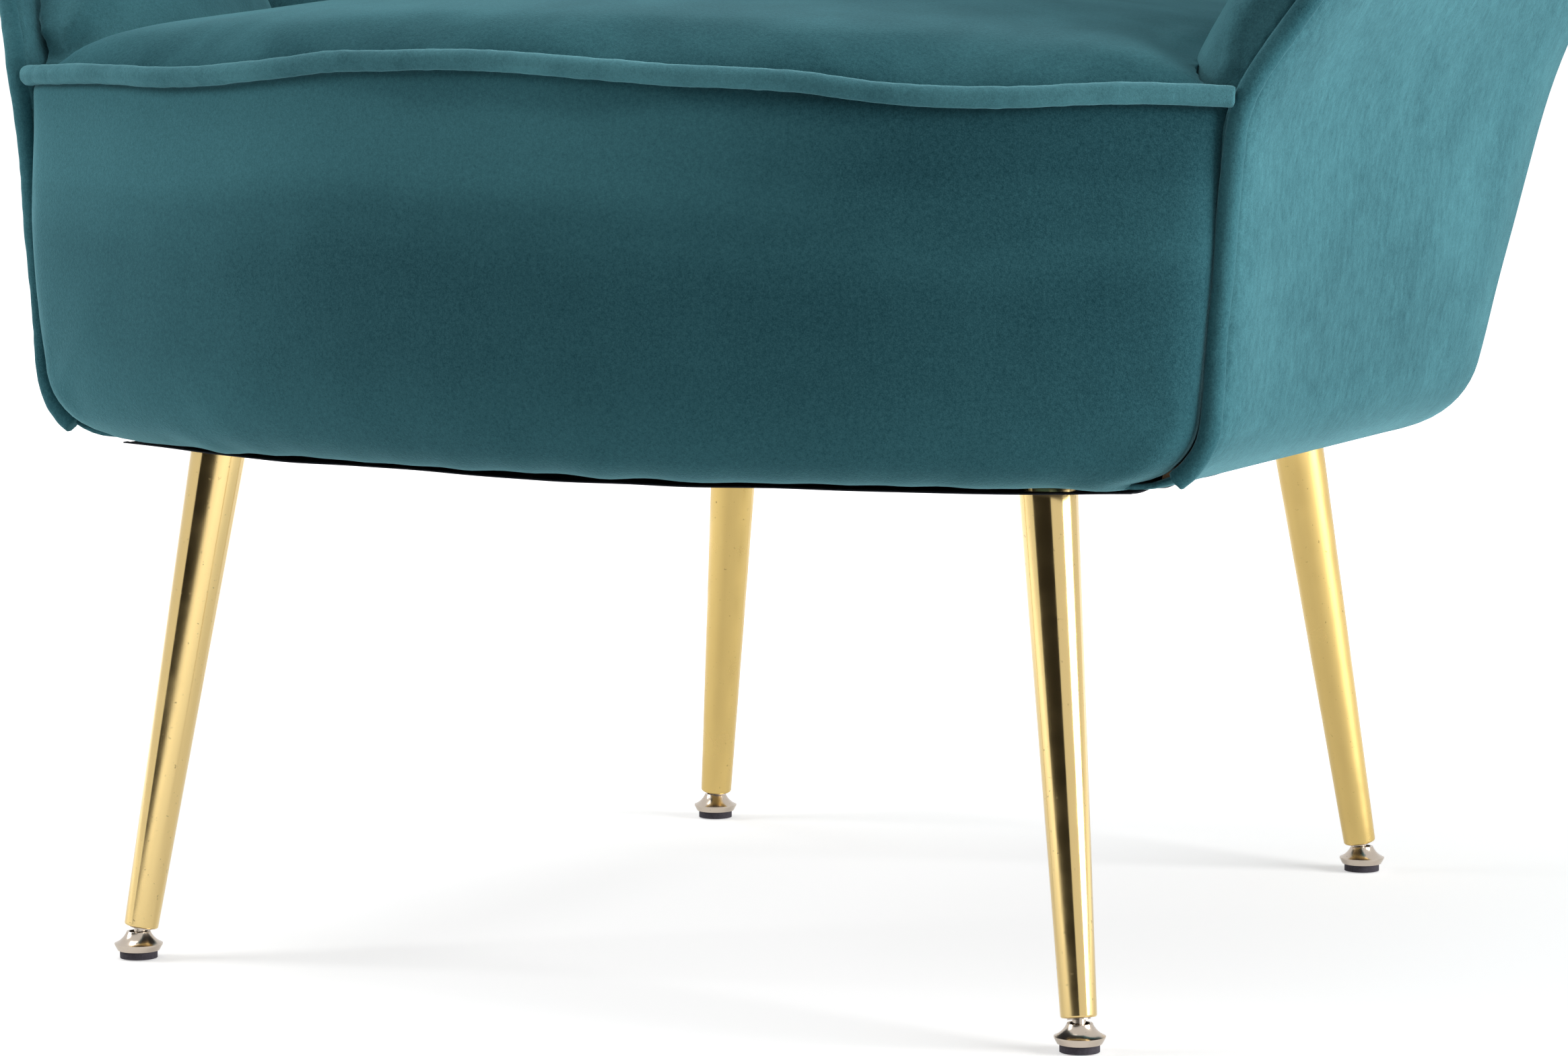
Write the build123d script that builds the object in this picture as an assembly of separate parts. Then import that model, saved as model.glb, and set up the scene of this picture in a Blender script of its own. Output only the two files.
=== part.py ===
from build123d import *
import os
from collections import namedtuple
from math import atan, ceil, cos, exp, hypot, pi, radians, sin, sqrt, tan

# Cocktail chair: an upholstered tub with a bowed apron on four splayed, tapered metal legs.
# Millimetres, +Z up, the front towards -Y, and the two sides mirrored about X = 0.

# Heights
UNDERSIDE_Z = 243.0  # hem of the seat box above the floor
APRON_H = 167.0  # hem to the seat seam at the front corners
SEAT_RISE = 45.0  # crown of the seat above that seam
ARM_RISE = 185.0  # height that the arm's front curve climbs to above that seam
BACK_RISE = 390.0  # top of the back above that seam

# Plan of the tub: half widths at the front corners and at the rear, rear face and rear corners
FRONT_Y = -230.0  # front corners, seen from the feet's centre
BASE_FRONT_W = 296.5
BASE_REAR_W = 286.0
BASE_REAR_Y = 253.0
BASE_CORNER_R = 197.0
SEAT_FRONT_W = 314.5
SEAT_REAR_W = 326.0
SEAT_REAR_Y = 300.0
SEAT_CORNER_R = 205.0
FLARE_RISE = 75.0  # the arms lean out most from the seam up to here
FLARE_FRONT_W = 352.0
FLARE_REAR_W = 346.0
FLARE_REAR_Y = 321.0
FLARE_CORNER_R = 210.0
ARM_FRONT_W = 372.0
ARM_REAR_W = 370.0
ARM_REAR_Y = 348.0
ARM_CORNER_R = 218.0
TOP_FRONT_W = 374.0
TOP_REAR_W = 374.0
TOP_REAR_Y = 396.0
TOP_CORNER_R = 235.0
STATION_STEP = 42.0  # height between the plans that the form is drawn through
HEM_R = 38.0  # rounded lower edge of the sides and the back
HEM_TURN = 34.0  # width of the outer cover turned in under the frame

# Rim of the tub, seen from the side
ARM_RUN = 88.0  # how quickly the arm's front edge climbs
RIM_CORNER_R = 60.0  # bend in the arm's front edge at the seam
RIM_STATIONS = 9
BACK_START = 200.0  # where the rim starts to climb again, behind the front corners

# Bowed front
BOW = 78.0  # the front's middle ahead of its corners
APRON_BULGE = 8.0
APRON_HEM_R = 24.0
APRON_TURN = 34.0  # width of the cover turned under the frame
SEAT_APEX_Y = 20.0  # highest point of the seat behind the feet's centre

# Layers
COVER_T = 2.5  # velvet with its wadding
PLY_T = 9.0  # moulded tub shell
PAD_T = 20.0  # padding in front of the front rail
WELT_R = 4.8  # piping
WELT_SEAM = 45.0  # angle round the piping at which its strip is sewn closed, in degrees
WELT_PROUD = 3.1  # seat piping's centre ahead of the apron
SEAM_RUNS = 12  # straight runs that lay out the seat piping
WELT_RUN = 35.0  # longest run between the points that lay out the rim piping
WELT_TURN = 14.0  # and the most that it turns there, in degrees
STRAIGHT = 0.4  # turn below which a run is straight, in degrees
FLUTE_DEPTH = 34.0  # swell of the back's channels
ARM_PAD_DEPTH = 44.0  # swell of the arm pads
ARM_PAD_SHARE = 0.27  # share of each half of the rim that the arm pad takes
PAD_FULLNESS = 4 / 3  # handles of a pad's crown, in its swells
RIM_CHECKS = 8  # places along a pad where its top is held above the rim
FLUTES_EACH_SIDE = 4
DUST_T = 1.2
DUST_INSET = 8.0  # dust cover's edge behind the start of the hem's round

# Seat frame
RAIL_T = 25.0
RAIL_H = 57.0
REBATE_H = 24.0  # step in the rails that the tub shell stands in
SIDE_RAIL_END_Y = 100.0  # rear ends of the side rails
BLOCK_W = 70.0  # corner blocks
STRAP_W = 55.0
STRAP_T = 1.6
LONG_STRAPS = 5
LONG_STRAP_PITCH = 84.0
CROSS_STRAPS = 4
CROSS_STRAP_PITCH = 92.0
FELT_T = 3.0

# Legs and feet
FRONT_FOOT_X = 240.5
REAR_FOOT_X = 185.5
FOOT_Y = 240.0
SPLAY = 0.1255  # lean of a leg towards the middle, across and along, for each unit of rise
LEG_FOOT_R = 8.0
LEG_TOP_R = 13.0
LEG_WALL = 1.5
LEG_HOLE_GAP = 0.6  # covers around the leg
INSERT_L = 20.0
TOP_PLUG_T = 8.0
STUD_R = 4.0
STUD_REACH = 36.0  # stud above the leg's top
TEE_BARREL_R = 5.0
TEE_BARREL_L = 14.0
TEE_FLANGE_R = 9.5
TEE_FLANGE_T = 1.5
BALL_Z = 7.3  # centre of the foot's ball above the floor
BALL_R = 5.0
STEM_R = 3.0
STEM_L = 24.0  # from the ball's centre
COLLAR_R = 5.2  # the stem's stop against the leg's end
COLLAR_T = 0.7
LEG_END = 7.3  # leg's lower end from the ball's centre, along the leg
BELL_TOP = 12.4
BELL_NECK_R = 5.6
BELL_BORE_R = 4.4
BELL_RIM_R = 11.3
BELL_RIM_Z = 6.8
BELL_EDGE_R = 9.9
BELL_HOLLOW = 0.6
PAD_H = 3.6
FOOT_PAD_R = 8.8
PAD_BOSS_R = 7.4
PAD_BOSS_H = 1.6

# Screws
SCREW_R = 2.0
SCREW_HEAD_R = 4.0
SCREW_HEAD_H = 2.4
BLOCK_SCREW_BITE = 14.0  # into the rail
BLOCK_SCREW_X = 22.0  # either side of the leg's stud
SHELL_SCREW_L = 22.0
SHELL_SCREW_SINK = 1.2  # head below the shell's face
SIDE_SCREW_Y = (-150.0, 0.0)
REAR_SCREW_X = (-70.0, 70.0)

# Clearances
GAP = 0.3  # between neighbouring covers, pads and boards
WELT_GAP = 0.6  # under the piping
SEAT_GAP = 2.0  # between the seat's sides and the shell, where the rim piping passes
FIT = 0.05  # between a turned piece and its bore
SOCKET_GAP = 0.12  # round the foot's ball

# Worked out from the sizes above
SEAM_Z = UNDERSIDE_Z + APRON_H
BLOCK_Z = UNDERSIDE_Z + COVER_T + GAP
RAIL_TOP = UNDERSIDE_Z + RAIL_H
REBATE_Z = RAIL_TOP - REBATE_H
BEHIND_COVER = COVER_T + GAP
WALL = BEHIND_COVER + PLY_T
LINING = WALL + GAP
RAIL_BACK = BEHIND_COVER + RAIL_T
FELT_Z = RAIL_TOP + 2 * STRAP_T + 2 * GAP
DECK_Z = FELT_Z + FELT_T + GAP
WELT_INSET = WALL / 2
RIM_CLEAR = WELT_R + WELT_GAP
HALF_CHORD = SEAT_FRONT_W - WALL
BOW_R = (HALF_CHORD**2 + BOW**2) / (2 * BOW)
BOW_Y = FRONT_Y - BOW + BOW_R
FRONT_RAIL_FACE = BEHIND_COVER + PAD_T + GAP
FRONT_RAIL_BACK = FRONT_RAIL_FACE + RAIL_T
DOME_R = (HALF_CHORD**2 + (SEAT_APEX_Y - FRONT_Y) ** 2 + SEAT_RISE**2) / (2 * SEAT_RISE)
TOP_Z = SEAM_Z + BACK_RISE
RISE = hypot(1, hypot(SPLAY, SPLAY))  # length of leg for each unit of height
LEG_TOP = (BLOCK_Z - BALL_Z) * RISE
LEG_PAST = LEG_TOP + LEG_TOP_R
ROOM = 2 * (SEAT_FRONT_W + TOP_REAR_Y)  # larger than the chair, for cutting tools

Level = namedtuple("Level", "z front_w rear_w rear_y corner_r")


def part_way(low, high, share):
    """The level at a share of the way between two others."""
    return Level(*[a + (b - a) * share for a, b in zip(low, high)])


BASE = Level(UNDERSIDE_Z, BASE_FRONT_W, BASE_REAR_W, BASE_REAR_Y, BASE_CORNER_R)
SEAT = Level(SEAM_Z, SEAT_FRONT_W, SEAT_REAR_W, SEAT_REAR_Y, SEAT_CORNER_R)
WAIST = part_way(BASE, SEAT, 1 / 2)
LEVELS = (
    BASE,
    WAIST,
    SEAT,
    Level(SEAM_Z + FLARE_RISE, FLARE_FRONT_W, FLARE_REAR_W, FLARE_REAR_Y, FLARE_CORNER_R),
    Level(SEAM_Z + ARM_RISE, ARM_FRONT_W, ARM_REAR_W, ARM_REAR_Y, ARM_CORNER_R),
    Level(TOP_Z + HEM_R, TOP_FRONT_W, TOP_REAR_W, TOP_REAR_Y, TOP_CORNER_R),
)


def slopes(k):
    """Rates at which the plan's sizes change with height at one of the levels."""
    steps = [
        [(q - p) / (b.z - a.z) for p, q in zip(a, b)] + [b.z - a.z]
        for a, b in zip(LEVELS, LEVELS[1:])
    ]
    below, over = steps[max(k - 1, 0)], steps[min(k, len(steps) - 1)]
    return [(p * over[-1] + q * below[-1]) / (over[-1] + below[-1]) for p, q in zip(below, over)]


def level_at(z):
    """Plan sizes at any height: straight up to the waist and a smooth curve from there."""
    k = max(i for i in range(len(LEVELS) - 1) if i == 0 or LEVELS[i].z <= z)
    low, high = LEVELS[k], LEVELS[k + 1]
    run = high.z - low.z
    t = (z - low.z) / run
    if k == 0:
        return part_way(low, high, t)
    sizes = []
    for a, b, rate_a, rate_b in zip(low, high, slopes(k), slopes(k + 1)):
        ease = t * t * (3 - 2 * t)
        bend = t * (1 - t) * ((1 - t) * rate_a - t * rate_b) * run
        sizes.append(a + (b - a) * ease + bend)
    return Level(*sizes)


def side_line(level, inset):
    """Slope of a side of the plan and its half width at the front corners, moved in by inset."""
    slope = (level.rear_w - level.front_w) / (level.rear_y - FRONT_Y)
    return slope, level.front_w - inset * hypot(1, slope)


def plan(level, inset):
    """Closed plan of the tub at one level, run forward past the bowed front."""
    slope, front_w = side_line(level, inset)
    front_y = FRONT_Y - 2 * BOW
    rear_y = level.rear_y - inset
    front_x = front_w + slope * (front_y - FRONT_Y)
    rear_x = front_w + slope * (rear_y - FRONT_Y)
    corners = [(front_x, front_y), (rear_x, rear_y), (-rear_x, rear_y), (-front_x, front_y)]
    round_r = level.corner_r - inset
    face = make_face(FilletPolyline(*corners, radius=[0, round_r, round_r, 0], close=True))
    return Pos(0, 0, level.z) * face


def above(z):
    """Everything above a height."""
    return Pos(0, 0, z) * Box(ROOM, ROOM, ROOM, align=(Align.CENTER, Align.CENTER, Align.MIN))


def between(low, high):
    """A level slab."""
    return Pos(0, 0, low) * Box(ROOM, ROOM, high - low, align=(Align.CENTER, Align.CENTER, Align.MIN))


def walls(inset):
    """The outer form of the chair moved in by inset, solid, without its rounded hem."""
    height = LEVELS[-1].z - UNDERSIDE_Z
    count = ceil(height / STATION_STEP)
    return loft([plan(level_at(UNDERSIDE_Z + height * i / count), inset) for i in range(count + 1)])


def tub(inset, floor):
    """The same form with its rounded hem, standing floor above the underside."""
    form = walls(inset) & above(UNDERSIDE_Z + floor)
    hem = form.edges().group_by(Axis.Z)[0].sort_by(Axis.Y)[1:]
    return fillet(hem, HEM_R - inset)


def rim_z(y):
    """Height of the rim's line, seen from the side."""
    climb = ARM_RISE * (1 - exp((FRONT_Y - y) / ARM_RUN))
    start = FRONT_Y + BACK_START
    share = min(max((y - start) / (TOP_REAR_Y - start), 0), 1)
    return SEAM_Z + climb + (BACK_RISE - ARM_RISE) * share * share * (3 - 2 * share)


def below_rim(drop):
    """Everything behind the arms' front edges and under the rim, moved in by drop."""
    bend = atan(ARM_RUN / ARM_RISE)  # at the seam, from the upright edge to the rim
    points = [(FRONT_Y + drop, SEAM_Z - drop * tan(bend / 2))]
    for i in range(1, RIM_STATIONS + 1):
        y = FRONT_Y + (TOP_REAR_Y - FRONT_Y) * (i / RIM_STATIONS) ** 1.5
        slope = (rim_z(y + 1) - rim_z(y - 1)) / 2
        points.append((y + drop * slope / hypot(1, slope), rim_z(y) - drop / hypot(1, slope)))
    rim = Spline(*points)
    start, end = rim @ 0, rim @ 1
    far = TOP_REAR_Y + ROOM / 4
    outline = [end, (far, end.Y), (far, -ROOM), (start.X, -ROOM), start]
    face = make_face([rim, *Polyline(*outline).edges()])
    corner = face.vertices().sort_by_distance(start)[0]
    face = fillet(corner, RIM_CORNER_R - drop)
    return extrude(Plane.YZ.offset(-ROOM / 2) * face, amount=ROOM)


def front(inset):
    """The bowed, convex front as a turned form about the bow's upright axis."""
    radius = BOW_R - inset
    low, seam, high = UNDERSIDE_Z + inset, SEAM_Z, TOP_Z
    swell = ThreePointArc((radius, low), (radius + APRON_BULGE, (low + seam) / 2), (radius, seam))
    rest = Polyline((radius, seam), (radius, high), (0, high), (0, low), (radius, low))
    face = make_face([swell, *rest.edges()])
    if inset < APRON_HEM_R:
        edge = face.vertices().sort_by_distance((radius, low))[0]
        face = fillet(edge, APRON_HEM_R - inset)
    return Pos(0, BOW_Y, 0) * revolve(Plane.XZ * face, Axis.Z)


def bow(inset):
    """Everything behind the upright, bowed front, moved in by inset."""
    return Pos(0, BOW_Y, 0) * Cylinder(BOW_R - inset, 2 * ROOM)


def before(y):
    """Everything in front of a plane across the chair."""
    return Pos(0, y, 0) * Box(ROOM, ROOM, 2 * ROOM, align=(Align.CENTER, Align.MAX, Align.CENTER))


def behind(y):
    """Everything behind a plane across the chair."""
    return Pos(0, y, 0) * Box(ROOM, ROOM, 2 * ROOM, align=(Align.CENTER, Align.MIN, Align.CENTER))


def dome(drop):
    """The crown of the seat as a large ball, lowered by drop."""
    return Pos(0, SEAT_APEX_Y, SEAM_Z + SEAT_RISE - DOME_R) * Sphere(DOME_R - drop)


def dome_z(x, y, drop=0.0):
    """Height of the crown at a point of the plan."""
    across = hypot(x, y - SEAT_APEX_Y)
    return SEAM_Z + SEAT_RISE - DOME_R + sqrt((DOME_R - drop) ** 2 - across**2)


def wall_point(share, z, inset):
    """Point and outward direction on the right half of the plan: 0 at the front, 1 at mid back."""
    level = level_at(z)
    slope, front_w = side_line(level, inset)
    rear_y = level.rear_y - inset
    radius = level.corner_r - inset
    run = hypot(1, slope)
    centre_y = rear_y - radius
    centre_x = front_w + slope * (centre_y - FRONT_Y) - radius * run
    side_l = (centre_y - radius * slope / run - FRONT_Y) * run
    turn = pi / 2 + atan(slope)
    length = share * (side_l + radius * turn + centre_x)
    if length <= side_l:
        y = FRONT_Y + length / run
        return Vector(front_w + slope * (y - FRONT_Y), y, z), Vector(1, -slope, 0).normalized()
    if length <= side_l + radius * turn:
        angle = (length - side_l) / radius - atan(slope)
        out = Vector(cos(angle), sin(angle), 0)
        return Vector(centre_x, centre_y, z) + out * radius, out
    return Vector(centre_x - (length - side_l - radius * turn), rear_y, z), Vector(0, 1, 0)


def rim_height(share, inset):
    """Height at which the wall meets the rim."""
    z = SEAM_Z
    for _ in range(30):
        z = (z + rim_z(wall_point(share, z, inset)[0].Y)) / 2
    return z


def crown(a, b, rise, full):
    """Rounded face of a pad across its width: an arc, or a fuller curve with steep sides."""
    if full:
        return Bezier(a, a + rise * PAD_FULLNESS, b + rise * PAD_FULLNESS, b)
    return ThreePointArc(a, (a + b) / 2 + rise, b)


def channel(start, end, depth, full=False, grow=0.0):
    """An upright pad on the wall between two shares of the right half, swelling inwards.

    A share past 1 is on the left half. The pad covers the wall up to the rim, where its swell dies away."""

    def spot(share, z):
        point, out = wall_point(min(abs(share), 2 - abs(share)), z, LINING)
        flip = abs(share) > 1
        return (Vector(-point.X, point.Y, point.Z), Vector(-out.X, out.Y, 0)) if flip else (point, out)

    middle = (start + end) / 2
    shares = [start + (end - start) * i / RIM_CHECKS for i in range(RIM_CHECKS + 1)]
    rims = [rim_height(min(s, 2 - s), LINING) for s in shares]
    climb = (rims[-1] - rims[0]) / RIM_CHECKS
    lift = max(z - rims[0] - climb * i for i, z in enumerate(rims))
    tops = [rims[0] + lift, (rims[0] + rims[-1]) / 2 + lift, rims[-1] + lift]
    faces = []
    for height, swell in ((0, 1.0), (0.35, 1.0), (0.7, 0.86), (0.9, 0.52), (1.0, 0.12)):
        z = [DECK_Z + height * (top - DECK_Z) for top in tops]
        a, b = spot(start, z[0])[0], spot(end, z[2])[0]
        crest, out = spot(middle, z[1])
        along = (b - a).normalized()
        a, b = a - along * grow, b + along * grow
        mid = (a + b) / 2
        hollow = (crest - mid).dot(out)
        rise = out * (hollow - depth * swell - grow)
        back = out * (hollow + WALL)
        faces.append(make_face([crown(a, b, rise, full), *Polyline(b, b + back, a + back, a).edges()]))
    return loft(faces)


def smooth_path(points):
    """Straight runs joined by the largest tangent arcs that they leave room for."""
    inner = zip(points, points[1:], points[2:])
    bends = [here for before, here, after in inner if (here - before).get_angle(after - here) > STRAIGHT]
    points = [points[0], *bends, points[-1]]
    radii = []
    for before, here, after in zip(points, points[1:], points[2:]):
        turn = radians((here - before).get_angle(after - here))
        run = min((here - before).length, (after - here).length)
        radii.append(0.45 * run / tan(turn / 2))
    return FilletPolyline(*points, radius=radii)


def cord(points):
    """Piping through a row of points."""
    path = smooth_path(points)
    section = Plane(origin=path @ 0, z_dir=path % 0) * Rot(0, 0, WELT_SEAM) * Circle(WELT_R)
    return sweep(section, path=path)


def turned(*profile):
    """A turned piece from (radius, height) pairs round a closed profile."""
    return revolve(Plane.XZ * make_face(Polyline(*profile, close=True)), Axis.Z)


def rod(radius, low, high):
    """A cylinder on the local axis between two heights."""
    return Pos(0, 0, low) * Cylinder(radius, high - low, align=(Align.CENTER, Align.CENTER, Align.MIN))


def mirrored(shape):
    """The same piece on the other side."""
    return mirror(shape, about=Plane.YZ)


def cut_alike(shape, cutters):
    """A symmetrical piece whose left half is cut and then mirrored."""
    half = (shape & Pos(-ROOM / 2, 0, 0) * Box(ROOM, 2 * ROOM, 2 * ROOM)) - cutters
    return half + mirrored(half)


def leg_radius(s):
    """Outer radius of a leg at a distance from the ball's centre along it."""
    return LEG_FOOT_R + (LEG_TOP_R - LEG_FOOT_R) * (s - LEG_END) / (LEG_TOP - LEG_END)


nodes = {}

# Where the legs stand: the ball of each foot, with the local axis up along the leg
foot_places = {}
for row, foot_x, foot_y in (("front", FRONT_FOOT_X, -FOOT_Y), ("rear", REAR_FOOT_X, FOOT_Y)):
    for side, sign in (("left", -1), ("right", 1)):
        lean = Vector(-sign * SPLAY, SPLAY if foot_y < 0 else -SPLAY, 1)
        foot_places[row + "_" + side] = Plane(origin=(sign * foot_x, foot_y, BALL_Z), z_dir=lean)

# Tub shell and its cover, with the cover turned in under the frame and cut round the legs
leg_clear = turned(
    (0, LEG_END),
    (leg_radius(LEG_END) + LEG_HOLE_GAP, LEG_END),
    (leg_radius(LEG_PAST) + LEG_HOLE_GAP, LEG_PAST),
    (0, LEG_PAST),
)
leg_holes = [place * leg_clear for place in foot_places.values()]
rim_cut = below_rim(RIM_CLEAR)
shell_form = tub(BEHIND_COVER, BEHIND_COVER)
lining_room = tub(LINING, LINING) & rim_cut
turn_opening = extrude(plan(LEVELS[0], HEM_R + HEM_TURN), HEM_R)
outer_cover = (tub(0, 0) - tub(COVER_T, COVER_T)) & rim_cut
nodes["outer_cover"] = outer_cover - turn_opening - leg_holes
tub_shell = (shell_form - walls(WALL)) & rim_cut & above(REBATE_Z)

# Arm pads and back channels, side by side round the inside of the shell
edges = [0.0, ARM_PAD_SHARE]
step = (1 - ARM_PAD_SHARE) / (FLUTES_EACH_SIDE + 0.5)
edges += [ARM_PAD_SHARE + step * (i + 1) for i in range(FLUTES_EACH_SIDE)]
pads = {"arm_pad": (edges[0], edges[1], ARM_PAD_DEPTH, True)}
for i in range(FLUTES_EACH_SIDE):
    pads["back_channel_" + str(i + 1)] = (edges[i + 1], edges[i + 2], FLUTE_DEPTH, False)
left_cutters = []
for name, sizes in pads.items():
    pad = channel(*sizes, grow=-GAP) & lining_room
    nodes["right_" + name] = pad
    nodes["left_" + name] = mirrored(pad)
    left_cutters.append(mirrored(channel(*sizes, grow=GAP)))
middle = (edges[-1], 2 - edges[-1], FLUTE_DEPTH)
nodes["back_channel_centre"] = channel(*middle, grow=-GAP) & lining_room
left_cutters.append(channel(*middle, grow=GAP))

# Seat frame: rails that follow the hem, with a step for the shell, and a bowed front rail
rail_low = shell_form & between(BLOCK_Z, REBATE_Z)
rail_high = walls(LINING) & between(REBATE_Z, RAIL_TOP)
rail_inside = walls(RAIL_BACK)
ring = (rail_low + rail_high) - rail_inside
side_rails = ring & behind(FRONT_Y + RIM_CLEAR) & before(SIDE_RAIL_END_Y)
right_rail = side_rails.solids().sort_by(Axis.X)[-1]
rear_rail = ring & behind(SIDE_RAIL_END_Y)
block_room = walls(RAIL_BACK + GAP) & between(BLOCK_Z, RAIL_TOP)
front_rail = (bow(FRONT_RAIL_FACE) - bow(FRONT_RAIL_BACK)) & walls(HEM_R + GAP)
front_rail &= between(BLOCK_Z, RAIL_TOP)

# Corner blocks with the leg fixings, all on the leg's own leaning axis
tee_low = LEG_TOP + STUD_REACH - TEE_BARREL_L
tee_high = LEG_TOP + STUD_REACH
tee_nut = rod(TEE_BARREL_R, tee_low, tee_high) + rod(TEE_FLANGE_R, tee_high, tee_high + TEE_FLANGE_T)
tee_nut -= rod(STUD_R + FIT, tee_low, tee_high + TEE_FLANGE_T)
stud = rod(STUD_R, LEG_TOP - TOP_PLUG_T, tee_high)
stud_room = rod(STUD_R + GAP, LEG_TOP - LEG_TOP_R, tee_high)
tee_room = rod(TEE_BARREL_R + FIT, tee_low, tee_high) + rod(TEE_FLANGE_R + GAP, tee_high, LEG_PAST + RAIL_H)
blocks, studs, tee_nuts, plugs, inserts, block_screws = [], [], [], [], [], []
for name, place in foot_places.items():
    leg_x = place.origin.X + place.z_dir.X * LEG_TOP
    leg_y = place.origin.Y + place.z_dir.Y * LEG_TOP
    out_x, out_y = (1 if leg_x > 0 else -1), (1 if leg_y > 0 else -1)
    inner_x, inner_y = leg_x - out_x * BLOCK_W / 2, leg_y - out_y * BLOCK_W / 2
    size = BLOCK_W * 1.5
    blank = Pos(inner_x + out_x * size / 2, inner_y + out_y * size / 2, BLOCK_Z + RAIL_H / 2)
    block = (blank * Box(size, size, RAIL_H)) & block_room & bow(FRONT_RAIL_BACK + GAP)
    block -= [place * stud_room, place * tee_room]
    for x in (leg_x - BLOCK_SCREW_X, leg_x + BLOCK_SCREW_X):
        z = (BLOCK_Z + RAIL_TOP) / 2
        face_y = BOW_Y - sqrt((BOW_R - FRONT_RAIL_BACK) ** 2 - x**2)
        if out_y > 0:
            ray = Axis((x, 0, z), (0, 1, 0))
            face_y = max(hit[0].Y for hit in rail_inside.find_intersection_points(ray))
        length = abs(face_y - inner_y) + BLOCK_SCREW_BITE
        seat = Plane(origin=(x, inner_y, z), z_dir=(0, out_y, 0))
        block_screws.append(seat * (rod(SCREW_R, 0, length) + rod(SCREW_HEAD_R, -SCREW_HEAD_H, 0)))
        bore = seat * rod(SCREW_R + FIT, -SCREW_HEAD_H, length + GAP)
        block -= bore
        rear_rail -= bore
        front_rail -= bore
    blocks.append(block)
    studs.append(place * stud)
    tee_nuts.append(place * tee_nut)

    # Leg: a tapered tube, cut level where it meets the frame
    outer = [(leg_radius(s), s) for s in (LEG_END, LEG_PAST)]
    tube = turned(*outer, *[(r - LEG_WALL, s) for r, s in reversed(outer)])
    tube = fillet(tube.edges().sort_by(Axis.Z)[:2].sort_by(SortBy.RADIUS)[-1:], LEG_WALL * 0.7)
    nodes[name + "_leg"] = place * tube & between(0, BLOCK_Z)
    core = [(r - LEG_WALL - FIT, s) for r, s in outer]
    plug = turned(*core, (STUD_R + FIT, LEG_PAST), (STUD_R + FIT, LEG_END)) & above(LEG_TOP - TOP_PLUG_T)
    plugs.append(place * plug & between(0, BLOCK_Z))
    insert = turned(*core, (STEM_R + FIT, LEG_PAST), (STEM_R + FIT, LEG_END)) & between(0, LEG_END + INSERT_L)
    inserts.append(place * insert)

    # Foot: a levelling stem with a ball, in a bell that stands level on its pad
    stem = Sphere(BALL_R) + rod(STEM_R, 0, STEM_L)
    stem += rod(COLLAR_R, LEG_END - FIT - COLLAR_T, LEG_END - FIT)
    nodes[name + "_foot_stem"] = place * stem
    level = Pos(place.origin.X, place.origin.Y, 0)
    socket = Pos(0, 0, BALL_Z) * Sphere(BALL_R + SOCKET_GAP)
    boss_top = PAD_H + PAD_BOSS_H
    flank = ThreePointArc(
        (BELL_NECK_R, BELL_TOP),
        ((BELL_NECK_R + BELL_RIM_R) / 2 - BELL_HOLLOW, (BELL_TOP + BELL_RIM_Z) / 2 - BELL_HOLLOW),
        (BELL_RIM_R, BELL_RIM_Z),
    )
    inside = Polyline(
        (BELL_RIM_R, BELL_RIM_Z),
        (BELL_RIM_R, BELL_RIM_Z - BELL_HOLLOW),
        (BELL_EDGE_R, PAD_H),
        (PAD_BOSS_R + FIT, PAD_H),
        (PAD_BOSS_R + FIT, boss_top + FIT),
        (0, boss_top + FIT),
        (0, BELL_TOP),
        (BELL_NECK_R, BELL_TOP),
    )
    bell = revolve(Plane.XZ * make_face([flank, *inside.edges()]), Axis.Z)
    nodes[name + "_foot_bell"] = level * (bell - socket - rod(BELL_BORE_R, BALL_Z, BELL_TOP))
    pad = rod(FOOT_PAD_R, 0, PAD_H) + rod(PAD_BOSS_R, PAD_H, boss_top)
    nodes[name + "_foot_pad"] = level * (pad - socket)

# Screws that hold the shell in the rails' step, with their heads sunk into the shell
shell_screw = turned(
    (0, 0), (SCREW_HEAD_R, 0), (SCREW_R, -SCREW_HEAD_H), (SCREW_R, -SHELL_SCREW_L), (0, -SHELL_SCREW_L)
)
screw_room = rod(SCREW_R + FIT, -SHELL_SCREW_L - GAP, 0) + turned(
    (0, SHELL_SCREW_SINK * 2),
    (SCREW_HEAD_R + FIT, SHELL_SCREW_SINK * 2),
    (SCREW_HEAD_R + FIT, 0),
    (SCREW_R + FIT, -SCREW_HEAD_H - FIT),
    (0, -SCREW_HEAD_H - FIT),
)
screw_z = REBATE_Z + REBATE_H / 2
rays = [Axis((0, y, screw_z), (sign, 0, 0)) for y in SIDE_SCREW_Y for sign in (-1, 1)]
rays += [Axis((x, 0, screw_z), (0, 1, 0)) for x in REAR_SCREW_X]
shell_screws = []
left_rail = mirrored(right_rail)
for ray in rays:
    hits = [hit[0] for hit in shell_form.find_intersection_points(ray)]
    face = max(hits, key=lambda hit: (hit - ray.position).dot(ray.direction))
    seat = Plane(origin=face - ray.direction * SHELL_SCREW_SINK, z_dir=ray.direction)
    shell_screws.append(seat * shell_screw)
    tub_shell -= seat * screw_room
    right_rail -= seat * screw_room
    left_rail -= seat * screw_room
    rear_rail -= seat * screw_room

nodes["tub_shell"] = tub_shell
nodes["front_rail"] = front_rail
nodes["rear_rail"] = rear_rail
nodes["right_rail"] = right_rail
nodes["left_rail"] = left_rail
nodes["corner_blocks"] = blocks
nodes["leg_studs"] = studs
nodes["leg_tee_nuts"] = tee_nuts
nodes["leg_top_plugs"] = plugs
nodes["leg_end_inserts"] = inserts
nodes["corner_block_screws"] = block_screws
nodes["shell_screws"] = shell_screws

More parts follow.
